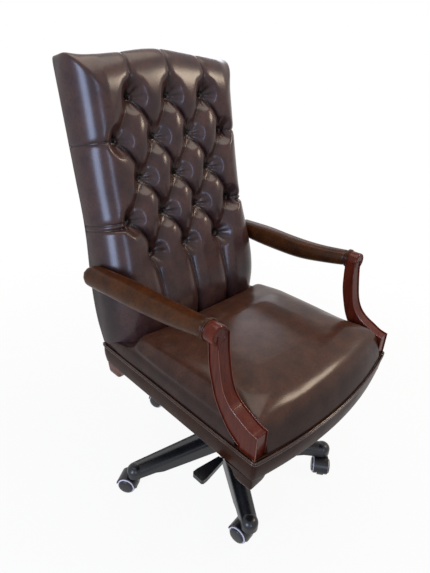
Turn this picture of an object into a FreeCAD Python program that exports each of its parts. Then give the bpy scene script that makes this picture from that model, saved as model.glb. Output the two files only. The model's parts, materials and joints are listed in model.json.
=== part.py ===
"""Swivel office chair: a parametric FreeCAD document, one object for each piece.

Frame: millimetres, +Z up, the origin on the floor under the gas lift, the sitter faces -Y.
Every driving dimension is a named cell of the sheet "Sizes".
"""
import FreeCAD, Part
import Sketcher
import math
import os
import re

Vector = FreeCAD.Vector
doc = FreeCAD.newDocument("swivel_office_chair")

# ---------------------------------------------------------------- driving dimensions
SIZES = {
    # fits shared by every piece
    "running_gap": 0.05,
    "face_gap": 0.3,
    # star base
    "arm_count": 5,
    "first_arm_angle": 19,
    "stem_circle": 318,
    "hub_radius": 46,
    "hub_top": 121,
    "hub_underside": 58,
    "star_arm_root": 28,
    "star_arm_root_half": 32,
    "star_arm_end_half": 23.5,
    "star_arm_end_top": 98,
    "star_arm_crown": 22,
    "star_end_radius": 24,
    "star_end_top": 100,
    "star_underside": 64,
    "star_belly": 57,
    "caster_sweep": 58,
    "star_wall": 4,
    "star_rib": 3,
    # casters
    "wheel_radius": 27.5,
    "wheel_inner_face": 10.5,
    "wheel_outer_face": 23,
    "wheel_edge_round": 3,
    "trim_inner_radius": 19.5,
    "trim_outer_radius": 26,
    "trim_depth": 2.5,
    "trim_stand": 0.8,
    "hub_cap_stand": 3,
    "axle_radius": 4,
    "axle_end": 19,
    "caster_trail": 22,
    "hood_gap": 1.5,
    "hood_wall": 2.5,
    "hood_inset": 1,
    "hood_boss_radius": 10.2,
    "hood_web_underside": 12,
    "hood_top": 60.7,
    "stem_radius": 5.5,
    "stem_foot": 33,
    "stem_top": 92,
    "stem_collar_radius": 9,
    # gas lift
    "tube_radius": 25,
    "tube_wall": 2,
    "tube_foot": 62,
    "tube_floor": 3,
    "tube_top": 246,
    "bush_length": 96,
    "cylinder_radius": 14,
    "cylinder_wall": 2.5,
    "cylinder_foot": 128,
    "cylinder_seal": 6,
    "valve_block": 24,
    "rod_radius": 5,
    "rod_foot": 56,
    "piston_underside": 182,
    "piston_height": 8,
    "bearing_radius": 14,
    "bearing_height": 6,
    "rod_collar_radius": 9,
    "rod_collar_height": 4,
    "clip_radius": 10,
    "clip_thickness": 2,
    "button_radius": 4,
    "button_stand": 5.7,
    "button_length": 14.7,
    # tilt mechanism
    "housing_half": 52,
    "housing_wall": 3,
    "housing_depth": 86,
    "housing_rear": 62,
    "housing_rear_height": 33,
    "housing_knee_y": -126,
    "housing_front": -232,
    "housing_front_rise": 24,
    "housing_plate_gap": 9,
    "housing_shoulder_y": -130,
    "socket_radius": 20,
    "socket_height": 34,
    "cylinder_stand": 4,
    "pivot_y": -150,
    "pivot_drop": 22,
    "pin_radius": 6,
    "pin_end": 62,
    "spring_y": -95,
    "spring_radius": 17,
    "spring_wire": 2.6,
    "spring_turns": 5,
    "spring_seat_radius": 21,
    "spring_seat_rise": 26,
    "spring_seat_thickness": 3,
    "screw_radius": 5,
    "screw_stand": 15,
    "screw_collar_radius": 8,
    "screw_collar_height": 4,
    "knob_radius": 28,
    "knob_height": 28,
    "knob_grips": 12,
    "knob_grip_radius": 4,
    # lever
    "shaft_x": -38,
    "shaft_radius": 4,
    "shaft_rear": 12,
    "finger_half": 6,
    "finger_thickness": 4,
    "finger_tip": 6,
    "shaft_boss_radius": 9,
    "lever_y": -210,
    "lever_rod_radius": 4,
    "lever_rod_inner": -14,
    "lever_slot_height": 16,
    "paddle_neck_x": -262,
    "paddle_tip_x": -342,
    "paddle_neck_half": 8,
    "paddle_wide_half": 17.5,
    "paddle_wide_x": -326,
    "paddle_thickness": 12,
    "paddle_bore_depth": 40,
    # seat plate
    "seat_plate_thickness": 4,
    "seat_plate_half": 100,
    "seat_plate_front": -230,
    "seat_plate_rear": 150,
    "plate_ear_half": 22,
    "plate_ear_drop": 36,
    "plate_ear_gap": 1,
    "plate_ear_thickness": 3,
    "plate_bolt_x": 80,
    "plate_bolt_front": -205,
    "plate_bolt_rear": 125,
    "bolt_radius": 4,
    "bolt_head_radius": 7,
    "bolt_head_height": 5,
    # seat frame
    "rail_underside": 392,
    "rail_top": 455,
    "rail_half_front": 296,
    "rail_half_rear": 282,
    "rail_front": -331,
    "rail_rear": 250,
    "rail_bow": 34,
    "rail_draft": 4,
    "rail_bow_underside": 36,
    "cover_thickness": 2.5,
    "rail_thickness": 32,
    "seat_board_thickness": 15,
    "welt_stand": 3.5,
    "welt_height": 7.7,
    "welt_reach": 2,
    "dust_cover_thickness": 1.2,
    "dust_opening_half": 112,
    "dust_opening_front": -245,
    "dust_opening_rear": 165,
    "foot_drop": 25,
    "foot_width": 56,
    "foot_tip_width": 42,
    "rear_foot_drop": 34,
    "rear_foot_width": 86,
    "rear_foot_tip_width": 60,
    # seat cushion
    "cushion_base_inset": 5,
    "cushion_crest_z": 522,
    "cushion_crest_inset": 21,
    "cushion_front_inset": 10,
    "cushion_top_z": 541,
    "cushion_top_inset": 70,
    "cushion_bow": 20,
    # arm posts
    "post_width": 36.5,
    "block_top": 519,
    "block_depth": 48,
    "scroll_x": 286,
    "scroll_z": 705,
    "scroll_radius": 23.5,
    "scroll_front": -207,
    "scroll_rear": -176,
    # arms
    "arm_mid_y": -25,
    "arm_mid_out": -3,
    "arm_mid_drop": 19,
    "arm_mid_half": 29,
    "arm_wide_y": 118,
    "arm_wide_out": 5,
    "arm_wide_drop": 22,
    "arm_wide_half": 32,
    "arm_rear_y": 262,
    "arm_rear_out": 17,
    "arm_rear_drop": 26,
    "arm_rear_half": 28,
    "arm_front_half": 22.5,
    "arm_end_round": 20,
    "arm_core_share": 0.45,
    "collar_radius": 26.5,
    "collar_width": 8,
    "arm_bolt_y": 222,
    # back
    "recline": 11.6,
    "back_origin_y": 83.4,
    "back_half": 273,
    "back_front_depth": 36,
    "back_round_width": 73,
    "back_round_depth": 103,
    "back_rear_depth": 66,
    "back_panel_thickness": 5,
    "back_foot_front": 140,
    "back_foot_swell": 5,
    "back_roll_depth": 6,
    "back_roll_swell": 26,
    "back_swell": 24,
    "back_flare": 16,
    "back_crown": 1237,
    "back_dip": 1224,
    "back_ear": 1233,
    "back_dip_x": 150,
    "frame_half": 250,
    "frame_front_depth": 40,
    "frame_thickness": 22,
    "frame_top_inset": 22,
    "stile_width": 50,
    "frame_rail_height": 60,
    "tuft_top": 1123.8,
    "tuft_row_pitch": 100.3,
    "tuft_column_pitch": 125.3,
    "tuft_button_radius": 9,
    "tuft_button_thickness": 5,
    "tuft_pit_radius": 10.5,
}

CASTER_TRAIL_ANGLES = (70, 105, 120, 95, 215)
# how far the back's padding spreads outwards, its side rolls swell and its middle swells,
# as shares of back_flare, back_roll_swell and back_swell, at even steps from its foot to its crown
PADDING_SWELL = ((0.45, 0, 0), (0.7, 0.08, 0.33), (1, 0.77, 1), (1, 1, 0.83), (0.7, 0.77, 0.25),
                 (0.25, 0.38, 0.04), (0, 0.08, 0)) + 7 * ((0, 0, 0),)

# heights and places that follow from the sizes, as expressions
PLACES = {
    "plate_z": "rail_underside - seat_plate_thickness",
    "housing_floor": "plate_z - housing_depth",
    "housing_top": "plate_z - housing_plate_gap",
    "pivot_z": "plate_z - pivot_drop",
    "cylinder_top": "housing_floor + socket_height + cylinder_stand",
    "button_top": "cylinder_top + button_stand",
    "finger_z": "button_top + face_gap",
    "shaft_z": "cylinder_top",
    "spring_seat_z": "housing_floor + spring_seat_rise",
    "screw_top": "spring_seat_z + spring_seat_thickness + screw_stand",
    "screw_collar_z": "housing_floor + housing_wall + face_gap",
    "bearing_z": "tube_foot + tube_floor",
    "rod_collar_z": "bearing_z + bearing_height",
    "piston_radius": "cylinder_radius - cylinder_wall - running_gap",
    "clip_top": "tube_foot - face_gap",
    "ear_x": "housing_half + plate_ear_gap",
}

sheet = doc.addObject("Spreadsheet::Sheet", "Sizes")
for row, (alias, value) in enumerate(SIZES.items(), start=1):
    sheet.set(f"A{row}", alias)
    sheet.set(f"B{row}", str(value))
    sheet.setAlias(f"B{row}", alias)
doc.recompute()


class Dimensions:
    """Reads a cell of the sheet by its alias, for the shapes that no feature can bind."""

    def __getattr__(self, alias):
        return float(sheet.get(alias))


size = Dimensions()
nodes = []
wide = 4 * size.rail_half_front  # longer than the chair is wide, for cutting blocks


# ---------------------------------------------------------------- helpers
def cell(text):
    """Turn an expression in aliases and places into one that reads the sheet."""
    def spelled_out(word):
        name = word.group()
        if name in PLACES:
            return "(" + cell(PLACES[name]) + ")"
        return "Sizes." + name if name in SIZES else name
    return re.sub(r"[a-z][a-z_]*[a-z]", spelled_out, text)


def bind(obj, **expressions):
    for prop, text in expressions.items():
        obj.setExpression(prop.replace("__", "."), cell(text))
    return obj


def node(obj, name):
    """Make an object of the document a piece of the chair."""
    obj.Label = name
    nodes.append(obj)
    return obj


def cylinder(radius, height, x="0", y="0", z="0"):
    obj = doc.addObject("Part::Cylinder", "Round")
    return bind(obj, Radius=radius, Height=height,
                Placement__Base__x=x, Placement__Base__y=y, Placement__Base__z=z)


def cross_cylinder(radius, height, x="0", y="0", z="0"):
    """A cylinder along +X from its start point."""
    obj = cylinder(radius, height, x, y, z)
    obj.setExpression("Placement.Rotation.Angle", "90 deg")
    obj.Placement = FreeCAD.Placement(Vector(), FreeCAD.Rotation(Vector(0, 1, 0), 90))
    return obj


def deep_cylinder(radius, height, x="0", y="0", z="0"):
    """A cylinder along +Y from its start point."""
    obj = cylinder(radius, height, x, y, z)
    obj.setExpression("Placement.Rotation.Angle", "90 deg")
    obj.Placement = FreeCAD.Placement(Vector(), FreeCAD.Rotation(Vector(-1, 0, 0), 90))
    return obj


def block(length, width, height, x="0", y="0", z="0"):
    obj = doc.addObject("Part::Box", "Block")
    return bind(obj, Length=length, Width=width, Height=height,
                Placement__Base__x=x, Placement__Base__y=y, Placement__Base__z=z)


def fuse(*objects):
    obj = doc.addObject("Part::MultiFuse", "Joined")
    obj.Shapes = list(objects)
    return obj


def cut(base, *tools):
    obj = doc.addObject("Part::Cut", "Bored")
    obj.Base = base
    obj.Tool = tools[0] if len(tools) == 1 else fuse(*tools)
    return obj


def group(*objects):
    obj = doc.addObject("Part::Compound", "Set")
    obj.Links = list(objects)
    return obj


def feature(shape, name):
    obj = doc.addObject("Part::Feature", name)
    obj.Shape = shape
    return node(obj, name)


def profile_body(name, plane, points):
    """A body with one closed sketch whose corners are bound to the sheet."""
    body = doc.addObject("PartDesign::Body", name)
    sketch = body.newObject("Sketcher::SketchObject", name + "_outline")
    role = plane + "_Plane"
    origin_plane = next(item for item in body.Origin.OriginFeatures if item.Role == role)
    sketch.AttachmentSupport = [(origin_plane, "")]
    sketch.MapMode = "FlatFace"
    count = len(points)
    rough = [Vector(math.cos(turn), math.sin(turn), 0) * 10
             for turn in (2 * math.pi * index / count for index in range(count))]
    for index in range(count):
        sketch.addGeometry(Part.LineSegment(rough[index], rough[(index + 1) % count]))
    for index in range(count):
        sketch.addConstraint(Sketcher.Constraint("Coincident", index, 2, (index + 1) % count, 1))
    for index, corner in enumerate(points):
        for kind, text in zip(("DistanceX", "DistanceY"), corner):
            number = sketch.addConstraint(Sketcher.Constraint(kind, -1, 1, index, 1, 1.0))
            sketch.setExpression(f"Constraints[{number}]", cell(text))
    return body, sketch


def extruded(name, plane, points, length, start=None):
    """Pad a bound outline, evenly about its plane or from a start height."""
    body, sketch = profile_body(name, plane, points)
    pad = body.newObject("PartDesign::Pad", name + "_pad")
    pad.Profile = sketch
    bind(pad, Length=length)
    if start is None:
        pad.Midplane = True
    else:
        sketch.setExpression("AttachmentOffset.Base.z", cell(start))
    sketch.Visibility = False
    return body


def revolved(name, points):
    """Turn a bound outline of (radius, height) corners about the Z axis."""
    body, sketch = profile_body(name, "XZ", points)
    turn = body.newObject("PartDesign::Revolution", name + "_turn")
    turn.Profile = sketch
    turn.ReferenceAxis = (sketch, ["V_Axis"])
    turn.Angle = 360
    return body


def turned(shape, angle):
    """A copy of a shape turned about the Z axis by an angle in degrees."""
    copy = shape.copy()
    copy.rotate(Vector(), Vector(0, 0, 1), angle)
    return copy


def mirrored(shape):
    return shape.mirror(Vector(), Vector(1, 0, 0))


def spline(points, start=None, end=None):
    curve = Part.BSplineCurve()
    if start is None:
        curve.interpolate(Points=points)
    else:
        curve.interpolate(Points=points, InitialTangent=start, FinalTangent=end)
    return curve.toShape()


def prism(points, direction):
    return Part.Face(Part.makePolygon(points + points[:1])).extrude(direction)


# ---------------------------------------------------------------- star base
def star_arm_section(radius, half, underside, top):
    """An upright section across an arm of the base: flat below, domed above."""
    shoulder = top - size.star_arm_crown
    corners = [Vector(radius, -half, shoulder), Vector(radius, -half, underside),
               Vector(radius, half, underside), Vector(radius, half, shoulder)]
    lean = math.sqrt(0.5)
    dome = [corners[3],
            Vector(radius, half * lean, shoulder + (top - shoulder) * lean),
            Vector(radius, 0, top),
            Vector(radius, -half * lean, shoulder + (top - shoulder) * lean),
            corners[0]]
    edges = [Part.LineSegment(a, b).toShape() for a, b in zip(corners, corners[1:])]
    edges.append(spline(dome, Vector(0, 0, 1), Vector(0, 0, -1)))
    return Part.Wire(edges)


def star_arm():
    """One arm along +X, hollow underneath, with the round socket end that holds a stem."""
    deep = size.star_belly - size.star_wall
    solid = Part.makeLoft([
        star_arm_section(size.star_arm_root, size.star_arm_root_half, deep, size.hub_top),
        star_arm_section(size.stem_circle, size.star_arm_end_half, deep, size.star_arm_end_top)],
        True, True)
    end = Vector(size.stem_circle, 0, deep)
    boss = Part.makeCylinder(size.star_end_radius, size.star_end_top - deep, end)
    top_edge = max(boss.Edges, key=lambda edge: edge.CenterOfMass.z)
    solid = solid.fuse(boss.makeFillet(size.star_end_radius - size.star_wall, [top_edge]))

    clear = size.stem_circle - size.caster_sweep
    middle = (size.hub_radius + clear) / 2
    belly = [Vector(0, -wide, size.hub_underside), Vector(size.hub_radius, -wide, size.hub_underside),
             Vector(middle, -wide, size.star_belly),
             Vector(clear - size.star_end_radius, -wide, size.star_belly),
             Vector(clear, -wide, size.star_underside),
             Vector(wide, -wide, size.star_underside), Vector(wide, -wide, 0), Vector(0, -wide, 0)]
    solid = solid.cut(prism(belly, Vector(0, 2 * wide, 0)))

    wall = size.star_wall
    hollow_end = size.stem_circle - size.star_end_radius - wall
    slope = (size.hub_top - size.star_arm_end_top) / (size.stem_circle - size.star_arm_root)
    near_top = size.hub_top - slope * (size.hub_radius - size.star_arm_root) - wall
    far_top = size.star_arm_end_top - wall
    hollow = Part.makeLoft([
        star_arm_section(size.hub_radius, size.star_arm_end_half, deep - wall, near_top),
        star_arm_section(hollow_end, size.star_arm_end_half - wall, deep - wall, far_top)],
        True, True)
    rib = Part.makeBox(size.stem_circle, size.star_rib, size.hub_top,
                       Vector(0, -size.star_rib / 2, 0))
    solid = solid.cut(hollow.cut(rib))
    socket = Part.makeCylinder(size.stem_radius + size.running_gap,
                               size.stem_top - deep + size.face_gap, end)
    return solid.cut(socket)


def arm_angles():
    count = int(size.arm_count)
    return [size.first_arm_angle + 360 * index / count for index in range(count)]


def star_base():
    hub = Part.makeCylinder(size.hub_radius, size.hub_top - size.hub_underside,
                            Vector(0, 0, size.hub_underside))
    solid = hub.fuse([turned(star_arm(), angle) for angle in arm_angles()])
    seat = Part.makeCylinder(size.tube_radius + size.running_gap, size.hub_top)
    return solid.cut(seat)


feature(star_base().removeSplitter(), "star_base")

# ---------------------------------------------------------------- casters
stem_profile = [("0", "stem_foot"), ("stem_radius", "stem_foot"),
                ("stem_radius", "hood_top + face_gap"),
                ("stem_collar_radius", "hood_top + face_gap"),
                ("stem_collar_radius", "star_underside"),
                ("stem_radius", "star_underside"), ("stem_radius", "stem_top"), ("0", "stem_top")]
stem = revolved("caster_stem", stem_profile)
doc.recompute()
feature(Part.makeCompound([
    turned(stem.Shape.translated(Vector(size.stem_circle, 0, 0)), angle)
    for angle in arm_angles()]), "caster_stems")


def side_cylinder(radius, start, end):
    """A cylinder about the wheel axle, from one distance to another off the caster's middle."""
    return Part.makeCylinder(radius, end - start,
                             Vector(size.caster_trail, start, size.wheel_radius), Vector(0, 1, 0))


def caster_hood():
    """The hood: a web between the wheels, a half shell over both, and the stem boss."""
    inner = size.wheel_radius + size.hood_gap
    outer = inner + size.hood_wall
    reach = size.wheel_outer_face - size.hood_inset
    web = size.wheel_inner_face - size.face_gap * 2
    shell = side_cylinder(outer, -reach, reach)
    bays = side_cylinder(inner, web, reach + 1).fuse(side_cylinder(inner, -reach - 1, -web))
    shell = shell.cut(bays)
    room = 4 * outer
    below = Part.makeBox(room, room, room, Vector(-room / 2 + size.caster_trail, -room / 2,
                                                  size.hood_web_underside - room))
    lower = Part.makeBox(room, room, room, Vector(-room / 2 + size.caster_trail, web,
                                                  size.wheel_radius - room))
    other = lower.mirror(Vector(), Vector(0, 1, 0))
    boss = Part.makeCylinder(size.hood_boss_radius, size.hood_top - size.stem_foot + size.hood_wall,
                             Vector(0, 0, size.stem_foot - size.hood_wall))
    solid = shell.cut(below).cut(lower).cut(other)
    solid = solid.fuse(boss.cut(side_cylinder(inner, web, reach)).cut(side_cylinder(inner, -reach, -web)))
    bore = Part.makeCylinder(size.stem_radius + size.running_gap, size.hood_top,
                             Vector(0, 0, size.stem_foot - size.face_gap))
    axle = side_cylinder(size.axle_radius + size.running_gap, -reach, reach)
    return solid.cut(bore).cut(axle).removeSplitter()


def about_axle(profile):
    """Turn (radius, distance) corners about the axle of the +Y wheel."""
    points = [Vector(size.caster_trail + radius, out, size.wheel_radius) for radius, out in profile]
    face = Part.Face(Part.makePolygon(points + points[:1]))
    return face.revolve(Vector(size.caster_trail, 0, size.wheel_radius), Vector(0, 1, 0), 360)


def caster_wheel():
    """One wheel: its body, the trim ring in a step of its face, and the hub cap."""
    bore = size.axle_radius + size.running_gap
    step = size.wheel_outer_face - size.trim_depth
    round_ = size.wheel_edge_round
    blind = size.axle_end + size.face_gap
    body = about_axle([
        (bore, size.wheel_inner_face), (size.wheel_radius - round_, size.wheel_inner_face),
        (size.wheel_radius, size.wheel_inner_face + round_), (size.wheel_radius, step - round_ / 2),
        (size.trim_outer_radius, step), (0, step), (0, blind), (bore, blind)])
    face = size.wheel_outer_face
    ring = about_axle([
        (size.trim_inner_radius, step), (size.trim_outer_radius, step),
        (size.trim_outer_radius, face), (size.trim_outer_radius - size.trim_stand, face + size.trim_stand),
        (size.trim_inner_radius, face + size.trim_stand)])
    rim = size.trim_inner_radius - size.running_gap
    top = face + size.hub_cap_stand
    cap = about_axle([(0, step), (rim, step), (rim, top - size.hub_cap_stand / 2),
                      (rim - size.hub_cap_stand, top), (0, top)])
    return Part.makeCompound([body, ring, cap])


hood_shape, wheel_shape = caster_hood(), caster_wheel()
axle_shape = side_cylinder(size.axle_radius, -size.axle_end, size.axle_end)
for number, (angle, trail) in enumerate(zip(arm_angles(), CASTER_TRAIL_ANGLES), start=1):
    turn = math.radians(angle)
    place = FreeCAD.Placement(
        Vector(math.cos(turn), math.sin(turn), 0) * size.stem_circle,
        FreeCAD.Rotation(Vector(0, 0, 1), trail))
    for name, shape in (("hood", hood_shape), ("axle", axle_shape), ("wheel_left", wheel_shape),
                        ("wheel_right", wheel_shape.mirror(Vector(), Vector(0, 1, 0)))):
        piece = feature(shape, f"caster_{number}_{name}")
        piece.Placement = place

# ---------------------------------------------------------------- gas lift
node(revolved("lift_tube", [
    ("rod_radius + running_gap", "tube_foot"), ("tube_radius", "tube_foot"),
    ("tube_radius", "tube_top"), ("tube_radius - tube_wall", "tube_top"),
    ("tube_radius - tube_wall", "tube_foot + tube_floor"),
    ("rod_radius + running_gap", "tube_foot + tube_floor")]), "lift_tube")
node(revolved("lift_bush", [
    ("cylinder_radius + running_gap", "tube_top - bush_length"),
    ("tube_radius - tube_wall - running_gap", "tube_top - bush_length"),
    ("tube_radius - tube_wall - running_gap", "tube_top"),
    ("cylinder_radius + running_gap", "tube_top")]), "lift_bush")
node(revolved("thrust_bearing", [
    ("rod_radius + running_gap", "bearing_z"), ("bearing_radius", "bearing_z"),
    ("bearing_radius", "rod_collar_z"), ("rod_radius + running_gap", "rod_collar_z")]), "thrust_bearing")
node(revolved("piston_rod", [
    ("0", "rod_foot"), ("rod_radius", "rod_foot"), ("rod_radius", "rod_collar_z"),
    ("rod_collar_radius", "rod_collar_z"), ("rod_collar_radius", "rod_collar_z + rod_collar_height"),
    ("rod_radius", "rod_collar_z + rod_collar_height"), ("rod_radius", "piston_underside"),
    ("piston_radius", "piston_underside"), ("piston_radius", "piston_underside + piston_height"),
    ("0", "piston_underside + piston_height")]), "piston_rod")
node(revolved("rod_clip", [
    ("rod_radius", "clip_top - clip_thickness"), ("clip_radius", "clip_top - clip_thickness"),
    ("clip_radius", "clip_top"), ("rod_radius", "clip_top")]), "rod_clip")
node(revolved("gas_cylinder", [
    ("rod_radius + running_gap", "cylinder_foot"), ("cylinder_radius", "cylinder_foot"),
    ("cylinder_radius", "cylinder_top"), ("button_radius + running_gap", "cylinder_top"),
    ("button_radius + running_gap", "cylinder_top - valve_block * 0.75"),
    ("0", "cylinder_top - valve_block * 0.75"), ("0", "cylinder_top - valve_block"),
    ("cylinder_radius - cylinder_wall", "cylinder_top - valve_block"),
    ("cylinder_radius - cylinder_wall", "cylinder_foot + cylinder_seal"),
    ("rod_radius + running_gap", "cylinder_foot + cylinder_seal")]), "gas_cylinder")
node(cylinder("button_radius", "button_length", z="button_top - button_length"), "valve_button")

# ---------------------------------------------------------------- tilt mechanism
housing_outside = extruded("housing_outside", "YZ", [
    ("housing_rear", "housing_floor"), ("housing_rear", "housing_floor + housing_rear_height"),
    ("housing_shoulder_y", "housing_top"), ("housing_front", "housing_top"),
    ("housing_front", "housing_floor + housing_front_rise"), ("housing_knee_y", "housing_floor")],
    "2 * housing_half")
housing_inside = extruded("housing_inside", "YZ", [
    ("housing_rear - housing_wall", "housing_floor + housing_wall"),
    ("housing_rear - housing_wall", "housing_top + housing_wall"),
    ("housing_front + housing_wall", "housing_top + housing_wall"),
    ("housing_front + housing_wall", "housing_floor + housing_front_rise + housing_wall"),
    ("housing_knee_y", "housing_floor + housing_wall")], "2 * (housing_half - housing_wall)")
shaft_stand = block("2 * finger_half", "housing_wall", "shaft_z + shaft_radius - housing_floor",
                    "shaft_x - finger_half", "shaft_rear", "housing_floor")
housing_shell = fuse(cut(housing_outside, housing_inside),
                     cylinder("socket_radius", "socket_height", z="housing_floor"), shaft_stand)
lever_slot = block("2 * housing_wall", "2 * (lever_rod_radius + face_gap)", "lever_slot_height",
                   "-housing_half - housing_wall / 2", "lever_y - lever_rod_radius - face_gap",
                   "shaft_z - lever_slot_height / 2")
node(cut(housing_shell,
         cylinder("cylinder_radius + running_gap", "2 * socket_height",
                  z="housing_floor - socket_height / 2"),
         cylinder("screw_radius + running_gap", "4 * housing_wall", y="spring_y",
                  z="housing_floor - housing_wall"),
         cross_cylinder("pin_radius", "4 * housing_half", "-2 * housing_half", "pivot_y", "pivot_z"),
         deep_cylinder("shaft_radius + running_gap", "shaft_rear + 3 * housing_wall - housing_front",
                       "shaft_x", "housing_front - housing_wall", "shaft_z"),
         lever_slot), "mechanism_housing")
node(cross_cylinder("pin_radius", "2 * pin_end", "-pin_end", "pivot_y", "pivot_z"), "tilt_pin")
spring_seat = node(cut(cylinder("spring_seat_radius", "spring_seat_thickness", y="spring_y", z="spring_seat_z"),
         cylinder("screw_radius + running_gap", "4 * spring_seat_thickness", y="spring_y",
                  z="spring_seat_z - spring_seat_thickness")), "spring_seat")


screw = revolved("tension_screw", [
    ("0", "housing_floor - knob_height"), ("screw_radius", "housing_floor - knob_height"),
    ("screw_radius", "screw_collar_z"), ("screw_collar_radius", "screw_collar_z"),
    ("screw_collar_radius", "screw_collar_z + screw_collar_height"),
    ("screw_radius", "screw_collar_z + screw_collar_height"),
    ("screw_radius", "screw_top"), ("0", "screw_top")])
bind(screw, Placement__Base__y="spring_y")
node(screw, "tension_screw")
doc.recompute()


def tension_spring():
    """A coil spring between the spring seat and the underside of the seat plate."""
    low = spring_seat.Shape.BoundBox.ZMax + size.spring_wire
    high = size.rail_underside - size.seat_plate_thickness - size.spring_wire
    coil = Part.makeHelix((high - low) / size.spring_turns, high - low, size.spring_radius)
    wire = Part.Wire(Part.makeCircle(size.spring_wire, Vector(size.spring_radius, 0, 0),
                                     Vector(0, 1, 0)))
    spring = Part.Wire(coil).makePipeShell([wire], True, True)
    return spring.translated(Vector(0, size.spring_y, low))


feature(tension_spring(), "tension_spring")


def tension_knob():
    """The hand knob, with finger grips round its rim and a bore for the screw."""
    low = screw.Shape.BoundBox.ZMin - size.face_gap
    knob = Part.makeCylinder(size.knob_radius, size.knob_height, Vector(0, 0, low))
    knob = knob.makeChamfer(2, [edge for edge in knob.Edges if len(edge.Vertexes) == 1])
    for index in range(int(size.knob_grips)):
        angle = 2 * math.pi * index / size.knob_grips
        at = Vector(math.cos(angle), math.sin(angle), 0) * (size.knob_radius + size.knob_grip_radius / 2)
        knob = knob.cut(Part.makeCylinder(size.knob_grip_radius, 2 * size.knob_height,
                                          at + Vector(0, 0, low - size.knob_height / 2)))
    bore = Part.makeCylinder(size.screw_radius, size.knob_height, Vector(0, 0, low + size.face_gap))
    return knob.cut(bore).translated(Vector(0, size.spring_y, 0))


feature(tension_knob(), "tension_knob")

# ---------------------------------------------------------------- lever
shaft_bar = deep_cylinder("shaft_radius", "shaft_rear + housing_wall - housing_front", "shaft_x",
                          "housing_front", "shaft_z")
shaft_boss = deep_cylinder("shaft_boss_radius", "4 * lever_rod_radius", "shaft_x",
                           "lever_y - 2 * lever_rod_radius", "shaft_z")
finger_stem = block("2 * shaft_radius", "2 * finger_half", "finger_z + finger_thickness - shaft_z",
                    "shaft_x - shaft_radius", "-finger_half", "shaft_z")
finger = block("finger_tip - shaft_x", "2 * finger_half", "finger_thickness", "shaft_x",
               "-finger_half", "finger_z")
node(cut(fuse(shaft_bar, shaft_boss, finger_stem, finger),
         cross_cylinder("lever_rod_radius + running_gap", "4 * shaft_boss_radius",
                        "shaft_x - 2 * shaft_boss_radius", "lever_y", "shaft_z")), "lever_shaft")
node(cross_cylinder("lever_rod_radius", "lever_rod_inner - paddle_neck_x + paddle_bore_depth",
                    "paddle_neck_x - paddle_bore_depth", "lever_y", "shaft_z"), "lever_rod")
paddle = extruded("paddle", "XY", [
    ("paddle_neck_x", "lever_y - paddle_neck_half"), ("paddle_neck_x", "lever_y + paddle_neck_half"),
    ("paddle_wide_x", "lever_y + paddle_wide_half"),
    ("paddle_tip_x + 4", "lever_y + paddle_wide_half"), ("paddle_tip_x", "lever_y + paddle_wide_half - 4"),
    ("paddle_tip_x", "lever_y - paddle_wide_half + 4"), ("paddle_tip_x + 4", "lever_y - paddle_wide_half"),
    ("paddle_wide_x", "lever_y - paddle_wide_half")], "paddle_thickness",
    "shaft_z - paddle_thickness / 2")
node(cut(paddle, cross_cylinder("lever_rod_radius", "2 * paddle_bore_depth",
                                "paddle_neck_x - paddle_bore_depth", "lever_y", "shaft_z")),
     "lever_paddle")

# ---------------------------------------------------------------- seat plate and board
def plate_ear(x):
    return block("plate_ear_thickness", "2 * plate_ear_half", "plate_ear_drop", x,
                 "pivot_y - plate_ear_half", "plate_z - plate_ear_drop")


def at_bolts(radius, height, z):
    """One upright cylinder at each of the four bolts of the plate."""
    return [cylinder(radius, height, side + "plate_bolt_x", y, z) for side in ("", "-")
            for y in ("plate_bolt_front", "plate_bolt_rear")]


plate = block("2 * seat_plate_half", "seat_plate_rear - seat_plate_front", "seat_plate_thickness",
              "-seat_plate_half", "seat_plate_front", "plate_z")
node(cut(fuse(plate, plate_ear("ear_x"), plate_ear("-ear_x - plate_ear_thickness")),
         cross_cylinder("pin_radius + running_gap", "4 * housing_half", "-2 * housing_half",
                        "pivot_y", "pivot_z"),
         *at_bolts("bolt_radius + running_gap", "4 * seat_plate_thickness",
                   "plate_z - seat_plate_thickness")), "seat_plate")
heads = at_bolts("bolt_head_radius", "bolt_head_height", "plate_z - bolt_head_height")
shanks = at_bolts("bolt_radius", "seat_plate_thickness + seat_board_thickness + bolt_head_height",
                  "plate_z - bolt_head_height")
node(group(*[fuse(head, shank) for head, shank in zip(heads, shanks)]), "plate_bolts")


def seat_outline(inset, z, bow, front_inset=None):
    """The plan of the seat: straight sides that draw in to the rear, and a bowed front."""
    front_inset = inset if front_inset is None else front_inset
    rear_y = size.rail_rear - inset
    front_y = size.rail_front + front_inset
    left_front = Vector(-size.rail_half_front + inset, front_y, z)
    left_rear = Vector(-size.rail_half_rear + inset, rear_y, z)
    right_front = Vector(size.rail_half_front - inset, front_y, z)
    right_rear = Vector(size.rail_half_rear - inset, rear_y, z)
    return Part.Wire([
        Part.LineSegment(left_rear, left_front).toShape(),
        Part.Arc(left_front, Vector(0, front_y - bow, z), right_front).toShape(),
        Part.LineSegment(right_front, right_rear).toShape(),
        Part.LineSegment(right_rear, left_rear).toShape()])


def seat_slab(inset, low, high, bow=None):
    bow = size.rail_bow if bow is None else bow
    return Part.Face(seat_outline(inset, low, bow)).extrude(Vector(0, 0, high - low))


def drafted(inset):
    """The rail band: full size at its top edge, drawn in at its underside."""
    return Part.makeLoft([
        seat_outline(inset + size.rail_draft, size.rail_underside, size.rail_bow_underside),
        seat_outline(inset, size.rail_top, size.rail_bow)], True, True)


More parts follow.
